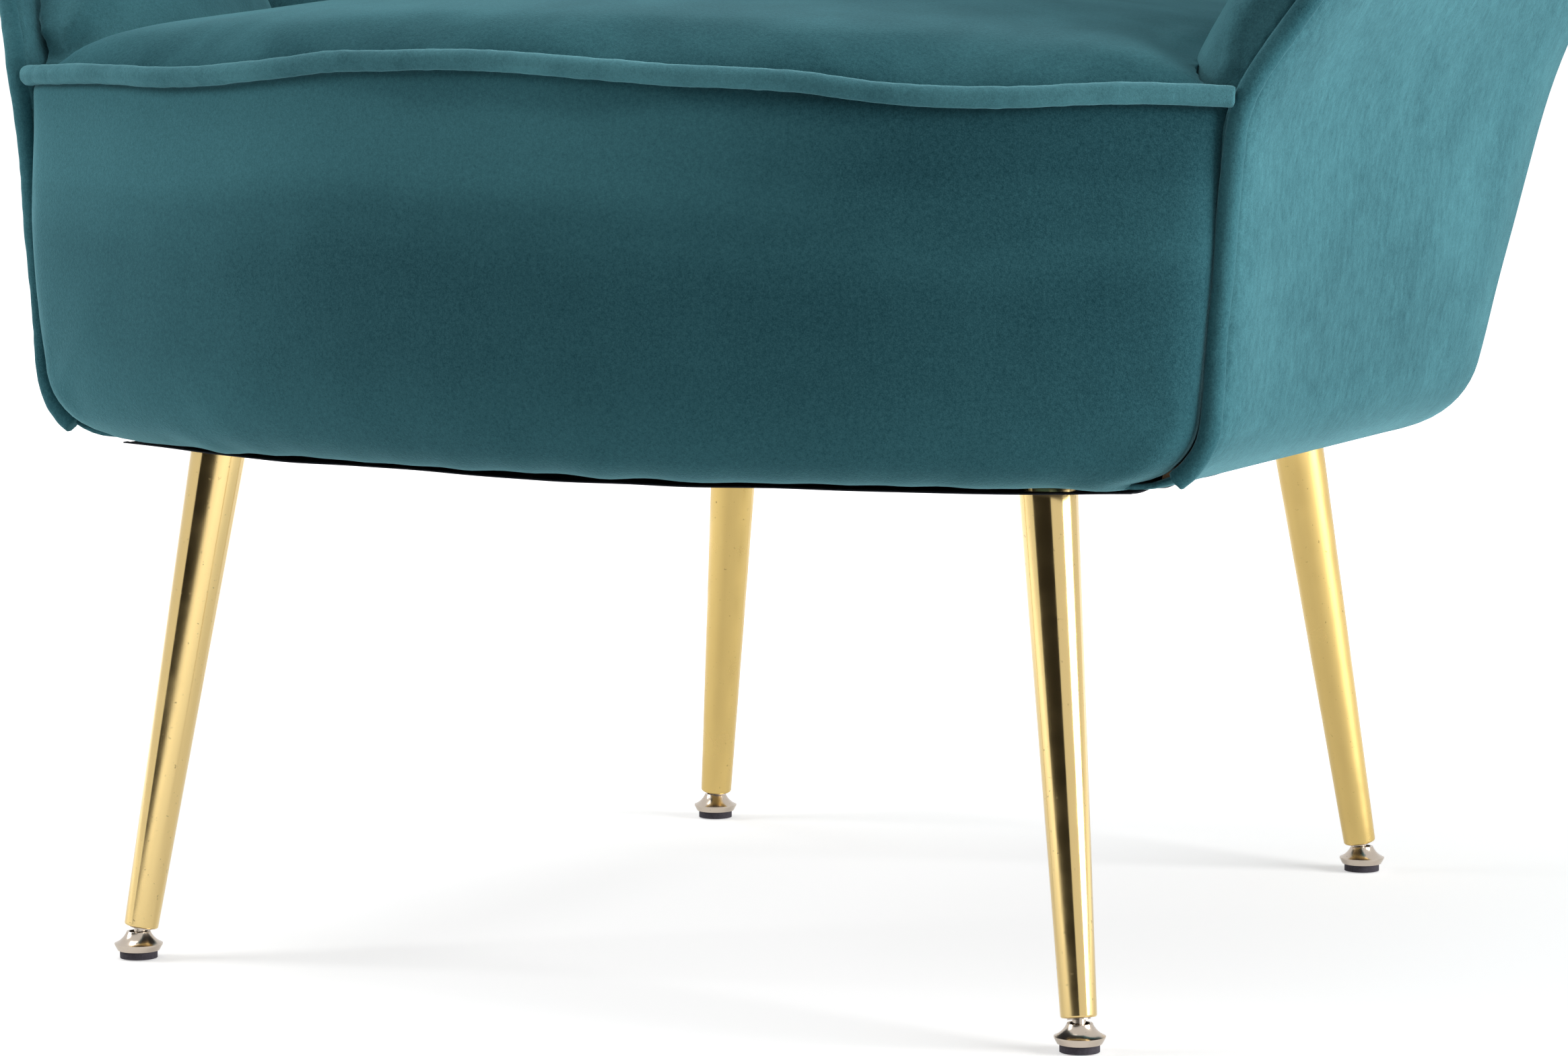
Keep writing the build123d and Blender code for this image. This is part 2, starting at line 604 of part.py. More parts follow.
# Webbing across the frame, and the felt deck on it
strap_room = walls(BEHIND_COVER + RAIL_T / 2) & bow(FRONT_RAIL_FACE + RAIL_T / 2)
strap_room &= between(RAIL_TOP, DECK_Z)
long_z, cross_z = RAIL_TOP + STRAP_T / 2, RAIL_TOP + GAP + STRAP_T * 1.5
long_x = [(i - (LONG_STRAPS - 1) / 2) * LONG_STRAP_PITCH for i in range(LONG_STRAPS)]
cross_y = [(i - (CROSS_STRAPS - 1) / 2) * CROSS_STRAP_PITCH for i in range(CROSS_STRAPS)]
nodes["long_straps"] = [Pos(x, 0, long_z) * Box(STRAP_W, ROOM, STRAP_T) & strap_room for x in long_x]
nodes["cross_straps"] = [Pos(0, y, cross_z) * Box(ROOM, STRAP_W, STRAP_T) & strap_room for y in cross_y]
nodes["felt_deck"] = walls(LINING) & bow(FRONT_RAIL_FACE) & between(FELT_Z, FELT_Z + FELT_T)

# Seat and apron
seat_side = WALL + SEAT_GAP
seat_form = tub(seat_side, seat_side) + extrude(plan(BASE, HEM_R + GAP), seat_side)
seat_room = seat_form & front(BEHIND_COVER)
foam = seat_room & dome(COVER_T + GAP) & above(DECK_Z)
nodes["seat_foam"] = cut_alike(foam, left_cutters)
nodes["seat_cover"] = cut_alike((seat_room & dome(0)) - dome(COVER_T), left_cutters)
apron_side = WELT_INSET + RIM_CLEAR
apron_form = tub(apron_side, RIM_CLEAR) + extrude(plan(BASE, HEM_R + GAP), apron_side)
apron_form &= before(FRONT_Y + RIM_CLEAR - GAP)
apron = (front(0) - front(COVER_T)) & apron_form & dome(RIM_CLEAR)
nodes["apron_cover"] = apron - bow(APRON_HEM_R + APRON_TURN) - leg_holes
padding = apron_form & front(BEHIND_COVER) & between(BLOCK_Z, DECK_Z - GAP)
nodes["apron_padding"] = padding - bow(FRONT_RAIL_FACE - GAP) - leg_holes

# Dust cover under the frame
dust = extrude(plan(LEVELS[0], HEM_R + DUST_INSET), -DUST_T) & bow(APRON_HEM_R + DUST_INSET)
nodes["dust_cover"] = Pos(0, 0, -GAP) * dust - leg_holes

# Piping: along the seat's front seam, and from one lower front corner round the rim to the other
reach = SEAT_FRONT_W - apron_side
seam = []
for i in range(SEAM_RUNS + 1):
    x = reach * (1 - 2 * i / SEAM_RUNS)
    y = BOW_Y - sqrt((BOW_R + WELT_PROUD) ** 2 - x**2)
    seam.append(Vector(x, y, dome_z(x, y)))
nodes["seat_piping"] = cord(seam)

core = tub(WELT_INSET, GAP) & below_rim(0) & above(UNDERSIDE_Z + WELT_R)
arm_y = FRONT_Y + ARM_RUN
corner_y = FRONT_Y + RIM_CORNER_R * (1 - cos(atan(ARM_RUN / ARM_RISE) / 2))
spots = [(0, FRONT_Y, UNDERSIDE_Z + APRON_H / 2), (0, corner_y, SEAM_Z), (0, arm_y, rim_z(arm_y))]
rim_edges = [edge for spot in spots for edge in core.faces().sort_by_distance(spot)[0].edges()]
rim_edges = [edge for edge in rim_edges if abs(edge.center().X) > WELT_R or edge.center().Y > arm_y]
rim = []
for edge in Wire(rim_edges).order_edges():
    turn = (edge % 0).get_angle(edge % 1)
    runs = max(ceil(edge.length / WELT_RUN), ceil(turn / WELT_TURN))
    rim += [edge @ (i / runs) for i in range(runs)]
nodes["rim_piping"] = cord([*rim, edge @ 1])

# The origin is on the floor, in the middle of the chair's overall box
solids = {name: ShapeList([part]).solids() for name, part in nodes.items() if not isinstance(part, list)}
solids.update({name: ShapeList(part).solids() for name, part in nodes.items() if isinstance(part, list)})
box = Compound([solid for group in solids.values() for solid in group]).bounding_box()
centred = Pos(-box.center().X, -box.center().Y, -box.min.Z)
print("feet's centre at Y", -box.center().Y, "overall", box.size)
os.makedirs("parts", exist_ok=True)
for name, group in solids.items():
    placed = [centred * solid for solid in group]
    export_step(placed[0] if len(placed) == 1 else Compound(children=placed), "parts/" + name + ".step")
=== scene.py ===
import math

import bpy
import numpy as np
from mathutils import Matrix, Vector, kdtree, noise


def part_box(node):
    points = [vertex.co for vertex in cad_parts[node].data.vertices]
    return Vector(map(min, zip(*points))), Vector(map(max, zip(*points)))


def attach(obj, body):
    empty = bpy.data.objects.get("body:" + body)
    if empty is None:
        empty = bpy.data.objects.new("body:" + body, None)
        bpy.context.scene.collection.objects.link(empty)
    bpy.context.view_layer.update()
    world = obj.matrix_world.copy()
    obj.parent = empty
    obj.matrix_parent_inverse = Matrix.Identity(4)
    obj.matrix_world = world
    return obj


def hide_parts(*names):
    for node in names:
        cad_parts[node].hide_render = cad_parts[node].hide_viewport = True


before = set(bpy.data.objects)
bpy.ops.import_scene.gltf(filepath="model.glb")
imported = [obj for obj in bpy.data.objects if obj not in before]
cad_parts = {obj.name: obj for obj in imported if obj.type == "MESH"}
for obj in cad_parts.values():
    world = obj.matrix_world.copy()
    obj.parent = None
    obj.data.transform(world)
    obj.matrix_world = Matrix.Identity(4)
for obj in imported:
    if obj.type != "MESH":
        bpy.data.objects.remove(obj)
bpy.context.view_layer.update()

bl_info = {
    "name": "Cocktail Chair",
    "version": (1, 0, 0),
    "blender": (4, 5, 0),
    "location": "3D View > Sidebar > Chair",
    "description": "Dresses a piped velvet tub chair with gold legs",
    "category": "Object",
}


def feet_middle():
    """Y of the feet's centre, which the chair's sizes are measured from."""
    front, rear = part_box("front_left_foot_pad"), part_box("rear_left_foot_pad")
    return (front[0].y + front[1].y + rear[0].y + rear[1].y) / 4


# Sizes and colours -----------------------------------------------------------------------------


def size(mm, name, text):
    """A length of the chair, given in millimetres."""
    return bpy.props.FloatProperty(
        name=name, description=text, default=mm / 1000, unit="LENGTH", precision=4
    )


def colour(red, green, blue, name, text):
    """A colour, given as it looks on screen from 0 to 255."""
    screen = [value / 255 for value in (red, green, blue)]
    linear = [c / 12.92 if c <= 0.04045 else ((c + 0.055) / 1.055) ** 2.4 for c in screen]
    return bpy.props.FloatVectorProperty(
        name=name, description=text, default=linear, subtype="COLOR", min=0, max=1, size=3
    )


PLAN = {
    "front_w": "Half width at the front",
    "rear_w": "Half width at the rear",
    "rear_y": "Rear face",
    "corner": "Plan radius of the rear corners",
}
LEVELS = {  # where each level of the tub is, and its plan sizes in millimetres
    "base": ("hem", 296.5, 286, 253, 197),
    "seat": ("seam", 314.5, 326, 300, 205),
    "flare": ("flare", 352, 346, 321, 210),
    "arm": ("arms", 372, 370, 348, 218),
    "top": ("top of the back", 374, 374, 396, 235),
}


class ChairSizes(bpy.types.PropertyGroup):
    """Sizes of the tub, the bowed front and their covers."""

    underside: size(243, "Underside", "Hem of the seat box above the floor")
    apron: size(167, "Apron", "Hem to the seat seam at the front corners")
    seat_rise: size(45, "Seat crown", "Crown of the seat above its seam")
    arm_rise: size(185, "Arm rise", "Height that the arm's front curve climbs to above the seam")
    back_rise: size(390, "Back rise", "Top of the back above the seam")
    front_y: size(-230, "Front corners", "Front corners of the tub from the feet's centre")
    flare_rise: size(75, "Flare", "Height above the seam where the arms lean out most")
    hem_r: size(38, "Hem round", "Rounded lower edge of the sides and the back")
    hem_turn: size(34, "Hem turn", "Width of the cover turned in under the frame")
    arm_run: size(88, "Arm run", "How quickly the arm's front edge climbs")
    rim_corner: size(60, "Rim corner", "Bend of the arm's front edge at the seam")
    back_start: size(200, "Back start", "Where the rim climbs again, behind the front corners")
    bow: size(78, "Bow", "Middle of the front ahead of its corners")
    apron_bulge: size(8, "Apron bulge", "Swell of the apron between seam and hem")
    apron_hem: size(24, "Apron hem", "Rounded lower edge of the apron")
    apron_turn: size(34, "Apron turn", "Width of the apron's cover turned under")
    seat_apex_y: size(20, "Seat apex", "Highest point of the seat behind the feet's centre")
    wall: size(11.8, "Tub wall", "Cover and shell together")
    piping_r: size(4.8, "Piping radius", "Half the thickness of the piping")
    cover: size(2.5, "Cover", "Velvet with its wadding")
    seat_plump: size(18, "Seat roll", "How far the seat swells behind its seam and beside the pads")
    lining_turn: size(90, "Lining", "Velvet turned over the rim, at least this far down inside the tub")
    lobe: size(10, "Arm lobe", "How far the arm pads swell over the seat's front corners")
    fold: size(2.6, "Folds", "Depth of the folds that run into the arm pads from the seat's corners")
    dust_inset: size(2.5, "Dust cover inset", "Dust cover's edge behind the start of the hem's round")
    dust_sag: size(3.2, "Dust cover sag", "How far the dust cover hangs between its staples")
    staple: size(46, "Staples", "Distance between the dust cover's staples")


for level, (where, *values) in LEVELS.items():
    for (key, text), mm in zip(PLAN.items(), values):
        ChairSizes.__annotations__[level + "_" + key] = size(mm, text + ", " + where, text + " of the tub")


class ChairColours(bpy.types.PropertyGroup):
    """Colours of the finishes."""

    # The light velvet tone is the pile as lit, a painted highlight tone, and the deep tone is the pile in
    # shade, a painted shade tone; both also colour the brushed patches
    pile: colour(34, 89, 98, "Velvet", "Velvet seen square on")
    pile_deep: colour(13, 55, 65, "Velvet, brushed down", "Velvet where the nap lies away")
    pile_light: colour(84, 142, 151, "Velvet, brushed up", "Velvet where the nap catches the light")
    gold: colour(214, 188, 130, "Gold", "Polished plating of the legs")
    brass: colour(206, 178, 112, "Brass", "Duller plating of the rear legs")
    nickel: colour(190, 178, 164, "Nickel", "Plating of the feet")
    foot: colour(58, 54, 62, "Foot pad", "Hard felt under the feet")
    cloth: colour(17, 20, 30, "Dust cloth", "Unwoven cloth under the frame")
    wood: colour(176, 136, 92, "Wood", "Rails, blocks and moulded shell")
    strap: colour(70, 66, 60, "Webbing", "Elastic webbing")
    felt: colour(120, 118, 112, "Felt", "Felt deck on the webbing")
    steel: colour(150, 150, 154, "Steel", "Screws, studs and tee nuts")
    floor: colour(246, 246, 246, "Floor", "Floor of the studio")


class ChairStage(bpy.types.PropertyGroup):
    """Camera of the studio."""

    lens: bpy.props.FloatProperty(name="Lens", description="Focal length", default=131.09, unit="CAMERA")
    camera_x: size(1215.5, "Camera X", "Camera to the right of the chair's middle")
    camera_y: size(-2456.2, "Camera Y", "Camera from the feet's centre")
    camera_z: size(501.2, "Camera Z", "Camera above the floor")
    target_x: size(-18.45, "Target X", "Point that the camera looks at")
    target_y: size(-9.3, "Target Y", "Point that the camera looks at, from the feet's centre")
    target_z: size(190.09, "Target Z", "Point that the camera looks at")


# The tub's form ---------------------------------------------------------------------------------


class Tub:
    """Plan, rim and bowed front of the chair, worked out from its sizes."""

    def __init__(self):
        self.s = s = bpy.context.scene.chair_sizes
        self.middle = feet_middle()
        self.seam = s.underside + s.apron
        self.top = self.seam + s.back_rise
        flare, arm = self.seam + s.flare_rise, self.seam + s.arm_rise
        heights = (s.underside, self.seam, flare, arm, self.top + s.hem_r)
        base, seat, *upper = [
            [z] + [getattr(s, level + "_" + key) for key in PLAN] for z, level in zip(heights, LEVELS)
        ]
        waist = [(a + b) / 2 for a, b in zip(base, seat)]
        self.levels = np.array([base, waist, seat, *upper])
        steps = np.diff(self.levels, axis=0)
        runs = steps[:, :1]
        rates = steps / runs
        inner = (rates[:-1] * runs[1:] + rates[1:] * runs[:-1]) / (runs[1:] + runs[:-1])
        self.rates = np.vstack([rates[:1], inner, rates[-1:]])
        half_chord = s.seat_front_w - s.wall
        self.bow_r = (half_chord**2 + s.bow**2) / (2 * s.bow)
        self.bow_y = s.front_y - s.bow + self.bow_r
        apex = s.seat_apex_y - s.front_y
        self.dome_r = (half_chord**2 + apex**2 + s.seat_rise**2) / (2 * s.seat_rise)

    def level(self, z):
        """Plan sizes at a height."""
        k = int(np.clip(np.searchsorted(self.levels[:, 0], z, side="right") - 1, 0, len(self.levels) - 2))
        low, high = self.levels[k], self.levels[k + 1]
        run = high[0] - low[0]
        t = (z - low[0]) / run
        if k == 0:
            return low + (high - low) * t
        ease = t * t * (3 - 2 * t)
        bend = t * (1 - t) * ((1 - t) * self.rates[k] - t * self.rates[k + 1]) * run
        return low + (high - low) * ease + bend

    def wall_point(self, share, z, inset=0.0):
        """Point and outward direction on the right half: share 0 at the front edge, 1 at mid back."""
        _, front_w, rear_w, rear_y, radius = self.level(z)
        front_y = self.s.front_y
        slope = (rear_w - front_w) / (rear_y - front_y)
        run = math.hypot(1, slope)
        front_w -= inset * run
        rear_y -= inset
        radius -= inset
        centre_y = rear_y - radius
        centre_x = front_w + slope * (centre_y - front_y) - radius * run
        side = (centre_y - radius * slope / run - front_y) * run
        turn = math.pi / 2 + math.atan(slope)
        length = share * (side + radius * turn + centre_x)
        if length <= side:
            y = front_y + length / run
            return Vector((front_w + slope * (y - front_y), y, z)), Vector((1, -slope, 0)).normalized()
        if length <= side + radius * turn:
            angle = (length - side) / radius - math.atan(slope)
            out = Vector((math.cos(angle), math.sin(angle), 0))
            return Vector((centre_x, centre_y, z)) + out * radius, out
        return Vector((centre_x - (length - side - radius * turn), rear_y, z)), Vector((0, 1, 0))

    def half_length(self, z):
        """Length of half the plan at a height, from the front corner to mid back."""
        steps = [self.wall_point(i / 60, z)[0] for i in range(61)]
        return sum((q - p).length for p, q in zip(steps, steps[1:]))

    def rim_z(self, y):
        """Height of the rim, seen from the side."""
        s = self.s
        climb = s.arm_rise * (1 - math.exp((s.front_y - y) / s.arm_run))
        start = s.front_y + s.back_start
        share = min(max((y - start) / (s.top_rear_y - start), 0), 1)
        return self.seam + climb + (s.back_rise - s.arm_rise) * share * share * (3 - 2 * share)

    def rim_line(self):
        """The rim seen from the side: rows of Y and Z from the start of the front corner's bend."""
        s = self.s
        bend = math.atan(s.arm_run / s.arm_rise)
        low = self.seam - s.rim_corner * math.tan(bend / 2)
        line = []
        for i in range(13):
            turn = bend * i / 12
            y = s.front_y + s.rim_corner * (1 - math.cos(turn))
            line.append((y, low + s.rim_corner * math.sin(turn)))
        y = s.front_y
        while y < s.top_rear_y + 0.05:
            if y > line[-1][0] + 0.0005:
                line.append((y, self.rim_z(y)))
            y += 0.002
        return np.array(line)

    def dome_z(self, x, y):
        """Height of the seat's crown."""
        across = math.hypot(x, y - self.s.seat_apex_y)
        return self.seam + self.s.seat_rise - self.dome_r + math.sqrt(self.dome_r**2 - across**2)

    def bow_front(self, x, radius):
        """Y of the bowed front."""
        return self.bow_y - math.sqrt(radius**2 - x**2)


SEAM_LIFT = 0.0012  # the seat's front seam above its even line
SEAM_DIPS = ((-0.180, 0.070, 0.0063), (0.080, 0.060, 0.0044), (0.190, 0.060, 0.0084))  # X, reach, depth


def seam_wave(x):
    """How far the seat's front seam rises or dips from its even line, across the front."""
    dips = (depth * math.exp(-(((x - place) / reach) ** 2)) for place, reach, depth in SEAM_DIPS)
    return SEAM_LIFT - sum(dips)


def wobble(point, scale, seed=0.0):
    """Smooth, repeatable unevenness from -1 to 1."""
    return noise.noise(Vector(point) * scale + Vector((seed, 1.7 * seed, -seed)))


# Modelling steps --------------------------------------------------------------------------------

EASE = 0.5  # how strongly one smoothing round evens a surface
FRAMES = 20  # frames that a filling runs for
FILLING = {  # how the velvet of a padded piece gives way
    "quality": 5,
    "mass": 0.3,
    "tension_stiffness": 12,
    "compression_stiffness": 12,
    "bending_stiffness": 0.4,
    "use_pressure": True,
}


def deselect():
    if bpy.context.object and bpy.context.object.mode != "OBJECT":
        bpy.ops.object.mode_set(mode="OBJECT")
    bpy.ops.object.select_all(action="DESELECT")


def choose(piece):
    """Makes a piece the only one selected."""
    deselect()
    piece.select_set(True)
    bpy.context.view_layer.objects.active = piece


def edit_all(piece, step, **settings):
    """Runs a step of edit mode on a whole piece."""
    choose(piece)
    bpy.ops.object.mode_set(mode="EDIT")
    bpy.ops.mesh.select_all(action="SELECT")
    step(**settings)
    bpy.ops.object.mode_set(mode="OBJECT")


def apply_modifier(piece, kind, **settings):
    """Adds a modifier, sets it and applies it."""
    choose(piece)
    modifier = piece.modifiers.new(kind.title(), kind)
    for key, value in settings.items():
        setattr(modifier, key, value)
    bpy.ops.object.modifier_apply(modifier=modifier.name)


def twin_of(piece, name):
    """A copy of a piece with its own mesh."""
    choose(piece)
    bpy.ops.object.duplicate()
    twin = bpy.context.object
    twin.name = twin.data.name = name
    return twin


def copy_node(name, node):
    """A copy of one of the frame's solids to model from, with its facets merged."""
    piece = twin_of(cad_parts[node], name)
    piece.parent = None
    for key in list(piece.keys()):
        del piece[key]
    piece.data.materials.clear()
    edit_all(piece, bpy.ops.mesh.remove_doubles, threshold=0.00002)
    bpy.ops.mesh.customdata_custom_splitnormals_clear()
    return piece


def mirrored(piece, name):
    """The same piece on the other side."""
    twin = twin_of(piece, name)
    twin.data.transform(Matrix.Scale(-1, 4, (1, 0, 0)))
    twin.data.flip_normals()
    return twin


def remesh(piece, voxel, rounds):
    """Even quads, with edges eased."""
    choose(piece)
    piece.data.remesh_voxel_size = voxel
    bpy.ops.object.voxel_remesh()
    apply_modifier(piece, "SMOOTH", factor=EASE, iterations=rounds)


def points_of(piece, what="co"):
    """Points of a piece, or their normals, in rows."""
    flat = np.zeros(len(piece.data.vertices) * 3)
    piece.data.vertices.foreach_get(what, flat)
    return flat.reshape(-1, 3)


def place_points(piece, points):
    piece.data.vertices.foreach_set("co", np.asarray(points, float).ravel())
    piece.data.update()


def push_out(piece, points, push):
    """Moves points along their normals."""
    place_points(piece, points + points_of(piece, "normal") * np.array(push)[:, None])


def tree_of(points):
    """A tree that finds the nearest of some points."""
    tree = kdtree.KDTree(len(points))
    for number, point in enumerate(points):
        tree.insert(point, number)
    tree.balance()
    return tree


def inflate(piece, cap, held=None, pressure=4.0):
    """Fills a padded piece with air for a moment. Held points stay, and no point moves past the cap."""
    rest = points_of(piece)
    choose(piece)
    cloth = piece.modifiers.new("Filling", "CLOTH")
    for key, value in FILLING.items():
        setattr(cloth.settings, key, value)
    cloth.settings.uniform_pressure_force = pressure
    cloth.settings.effector_weights.gravity = 0
    cloth.collision_settings.use_collision = False
    cloth.point_cache.frame_start = 1
    cloth.point_cache.frame_end = FRAMES
    if held is not None:
        group = piece.vertex_groups.new(name="held")
        group.add([int(i) for i in np.flatnonzero(held)], 1.0, "REPLACE")
        cloth.settings.vertex_group_mass = "held"
    scene = bpy.context.scene
    for step in range(1, FRAMES + 1):
        scene.frame_set(step)
    bpy.ops.object.modifier_apply(modifier=cloth.name)
    scene.frame_set(1)
    piece.vertex_groups.clear()
    moved = points_of(piece) - rest
    far = np.linalg.norm(moved, axis=1)
    scale = np.minimum(1, cap / np.maximum(far, 1e-9))
    place_points(piece, rest + moved * scale[:, None])


def grid(name, columns, rows, place):
    """A grid whose points are put in place by column and row."""
    deselect()
    bpy.ops.mesh.primitive_grid_add(x_subdivisions=columns - 1, y_subdivisions=rows - 1, size=1)
    piece = bpy.context.object
    piece.name = piece.data.name = name
    start = points_of(piece)
    across = np.rint((start[:, 0] + 0.5) * (columns - 1)).astype(int)
    up = np.rint((start[:, 1] + 0.5) * (rows - 1)).astype(int)
    place_points(piece, [place(i, j) for i, j in zip(across, up)])
    return piece


def dress(piece, material, slot, *nodes):
    """Gives a piece its finish and its place in the chair."""
    paint(piece, material)
    choose(piece)
    bpy.ops.object.shade_smooth()
    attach(piece, "chair")
    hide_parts(*nodes)


def paint(piece, material):
    piece.data.materials.clear()
    piece.data.materials.append(material)


# Finishes ---------------------------------------------------------------------------------------


NODE_STEP, NODE_ROW = 220, 5  # distance between nodes, and how many stand in a row


def add(tree, name, kind, values=None):
    """A named shader node with its settings, and its inputs by name or number."""
    down, across = divmod(len(tree.nodes), NODE_ROW)
    made = tree.nodes.new(kind if kind.startswith("Node") else "ShaderNode" + kind)
    made.name = name
    made.location = (across * NODE_STEP, -down * NODE_STEP)
    for key, value in (values or {}).items():
        if isinstance(key, int) or key in made.inputs:
            made.inputs[key].default_value = value
        else:
            setattr(made, key, value)
    return made


def wire(tree, nodes, links):
    """Adds nodes by name, and links them as 'node.output>node.input', with sockets by name or number."""
    made = {name: add(tree, name, *what) for name, what in nodes.items()}
    for link in links:
        ends = [end.split(".") for end in link.split(">")]
        (source, out), (target, into) = [(n, int(s) if s.isdigit() else s) for n, s in ends]
        tree.links.new(made[source].outputs[out], made[target].inputs[into])


def effect(name, inputs, outputs, nodes, links):
    """A node group made once, from a vector and some values to some values."""
    tree = bpy.data.node_groups.get(name)
    if tree:
        return tree
    tree = bpy.data.node_groups.new(name, "ShaderNodeTree")
    tree.interface.new_socket(name="Vector", in_out="INPUT", socket_type="NodeSocketVector")
    for label, default in inputs.items():
        socket = tree.interface.new_socket(name=label, in_out="INPUT", socket_type="NodeSocketFloat")
        socket.default_value = default
    for label in outputs:
        tree.interface.new_socket(name=label, in_out="OUTPUT", socket_type="NodeSocketFloat")
    ends = {"in": ("NodeGroupInput",), "out": ("NodeGroupOutput",)}
    wire(tree, ends | nodes, links)
    return tree


def math_node(operation, **values):
    return "Math", {"operation": operation, **values}


def times(factor):
    """A value times a factor."""
    return "Math", {"operation": "MULTIPLY", 1: factor}


def spread(low, high, first=0.0, last=1.0, way="LINEAR"):
    """A value that goes from first to last between two limits."""
    limits = {"From Min": low, "From Max": high, "To Min": first, "To Max": last}
    return "MapRange", {"interpolation_type": way, **limits}


def grain(**values):
    return "TexNoise", values


def mix(first, second, share=0.5):
    """A mix of two colours: its share is socket 0, its colours are 6 and 7, and its result is 2."""
    return "Mix", {"data_type": "RGBA", 0: share, 6: (*first, 1), 7: (*second, 1)}


def blend(share=0.5):
    """A mix of two values."""
    return "Mix", {"data_type": "FLOAT", "Factor": share}


def bump(strength, distance):
    return "Bump", {"Strength": strength, "Distance": distance}


def put(group, **values):
    """An effect placed in a material."""
    return "Group", {"node_tree": group, **values}


def nap_effect():
    """Fine pile: a fleck of colour and a height, from two sizes of grain."""
    nodes = {
        "coarse": grain(Detail=2.0, Roughness=0.6),
        "finer": times(2.7),
        "fine": grain(Detail=1.0),
        "both": math_node("ADD"),
        "half": times(0.5),
        "fleck": spread(0.3, 0.7),
    }
    links = (
        "in.Vector>coarse.Vector", "in.Vector>fine.Vector", "in.Grain>coarse.Scale", "in.Grain>finer.0",
        "finer.0>fine.Scale", "coarse.Fac>both.0", "fine.Fac>both.1", "both.0>half.0",
        "half.0>fleck.Value", "fleck.Result>out.Fleck", "half.0>out.Height",
    )
    return effect("Nap", {"Grain": 900.0}, ("Fleck", "Height"), nodes, links)


def patches_effect():
    """Places where the pile has been brushed one way or the other."""
    nodes = {
        "broad": grain(Detail=3.0, Roughness=0.55, Distortion=0.5),
        "smaller": times(4.0),
        "small": grain(Detail=2.0, Roughness=0.5, Distortion=0.3),
        "both": blend(0.25),
        "mask": spread(0.15, 0.85, way="SMOOTHSTEP"),
    }
    links = (
        "in.Vector>broad.Vector", "in.Vector>small.Vector", "in.Patches>broad.Scale", "in.Patches>smaller.0",
        "smaller.0>small.Scale", "broad.Fac>both.A", "small.Fac>both.B", "both.Result>mask.Value",
        "mask.Result>out.Mask",
    )
    return effect("Brushed patches", {"Patches": 9.0}, ("Mask",), nodes, links)


def streaks_effect():
    """Upright streaks of pile across brushed patches."""
    nodes = {
        "tall": ("VectorMath", {"operation": "MULTIPLY", 1: (1.0, 1.0, 0.4)}),
        "rain": grain(Scale=300.0, Detail=3.0, Roughness=0.6),
        "streak": spread(0.25, 0.75),
        "both": blend(),
    }
    links = (
        "in.Vector>tall.0", "tall.0>rain.Vector", "rain.Fac>streak.Value", "in.Share>both.Factor",
        "in.Patches>both.A", "streak.Result>both.B", "both.Result>out.Mask",
    )
    return effect("Streaks", {"Patches": 0.5, "Share": 0.5}, ("Mask",), nodes, links)


APRON_PAINTED_LIGHT = (  # height from the hem to the seam, and how light the apron is painted there: painted highlight along the hem and below the seam, darker pile where it swells out
    (0.0, 0.30), (0.12, 0.36), (0.32, 0.16), (0.50, 0.07), (0.64, 0.30), (0.79, 0.88), (0.93, 1.0), (1.0, 0.6)
)


def band_effect():
    """Apron's pile with painted light: painted highlight along its hem and below its seam, darker pile where
    it swells out, painted sheen towards its left end and painted shadow under the seam's piping on the right.
    """
    sizes = bpy.context.scene.chair_sizes
    nodes = {
        "parts": ("SeparateXYZ",),
        "height": spread(sizes.underside, sizes.underside + sizes.apron + SEAM_LIFT),
        "sway": grain(Scale=7.0, Detail=2.0),
        "shift": ("Math", {"operation": "MULTIPLY_ADD", 1: 0.2}),
        "level": ("Math", {"operation": "SUBTRACT", 1: 0.1}),
        "ramp": ("ValToRGB",),
        # left: painted sheen, the apron lighter towards its left end
        "left": spread(-0.05, -0.30, last=0.5, way="SMOOTHSTEP"),
        # right and upper make the shade: painted shadow under the seam's piping, darker at the apron's top
        # right
        "right": spread(0.0, 0.22, way="SMOOTHSTEP"),
        "upper": spread(0.6, 0.85, way="SMOOTHSTEP"),
        "shade": math_node("MULTIPLY"),
        "less": math_node("SUBTRACT", use_clamp=True),
        "more": math_node("ADD", use_clamp=True),
        "both": blend(0.22),
    }
    links = (
        "in.Vector>parts.0", "in.Vector>sway.Vector", "parts.Z>height.Value", "parts.X>left.Value",
        "parts.X>right.Value", "sway.Fac>shift.0", "height.Result>shift.2", "shift.0>level.0",
        "level.0>ramp.Fac", "level.0>upper.Value", "right.Result>shade.0", "upper.Result>shade.1",
        "ramp.Color>less.0", "shade.0>less.1", "less.0>more.0", "left.Result>more.1", "more.0>both.A",
        "in.Patches>both.B", "both.Result>out.Mask",
    )
    tree = effect("Apron pile", {"Patches": 0.5}, ("Mask",), nodes, links)
    ramp = tree.nodes["ramp"].color_ramp
    ramp.interpolation = "EASE"
    while len(ramp.elements) < len(APRON_PAINTED_LIGHT):
        ramp.elements.new(0.5)
    for element, (place, tone) in zip(ramp.elements, APRON_PAINTED_LIGHT):
        element.position = place
        element.color = (tone, tone, tone, 1)
    return tree


def specks_effect():
    """Small marks in a finish: dust, pores or handling."""
    nodes = {
        "dots": grain(Detail=3.0, Roughness=0.7),
        "mask": spread(0.66, 0.74),
        "wider": times(0.12),
        "cloud": grain(Detail=2.0),
    }
    links = (
        "in.Vector>dots.Vector", "in.Vector>cloud.Vector", "in.Grain>dots.Scale", "in.Grain>wider.0",
        "wider.0>cloud.Scale", "dots.Fac>mask.Value", "mask.Result>out.Mask", "cloud.Fac>out.Cloud",
    )
    return effect("Specks", {"Grain": 300.0}, ("Mask", "Cloud"), nodes, links)


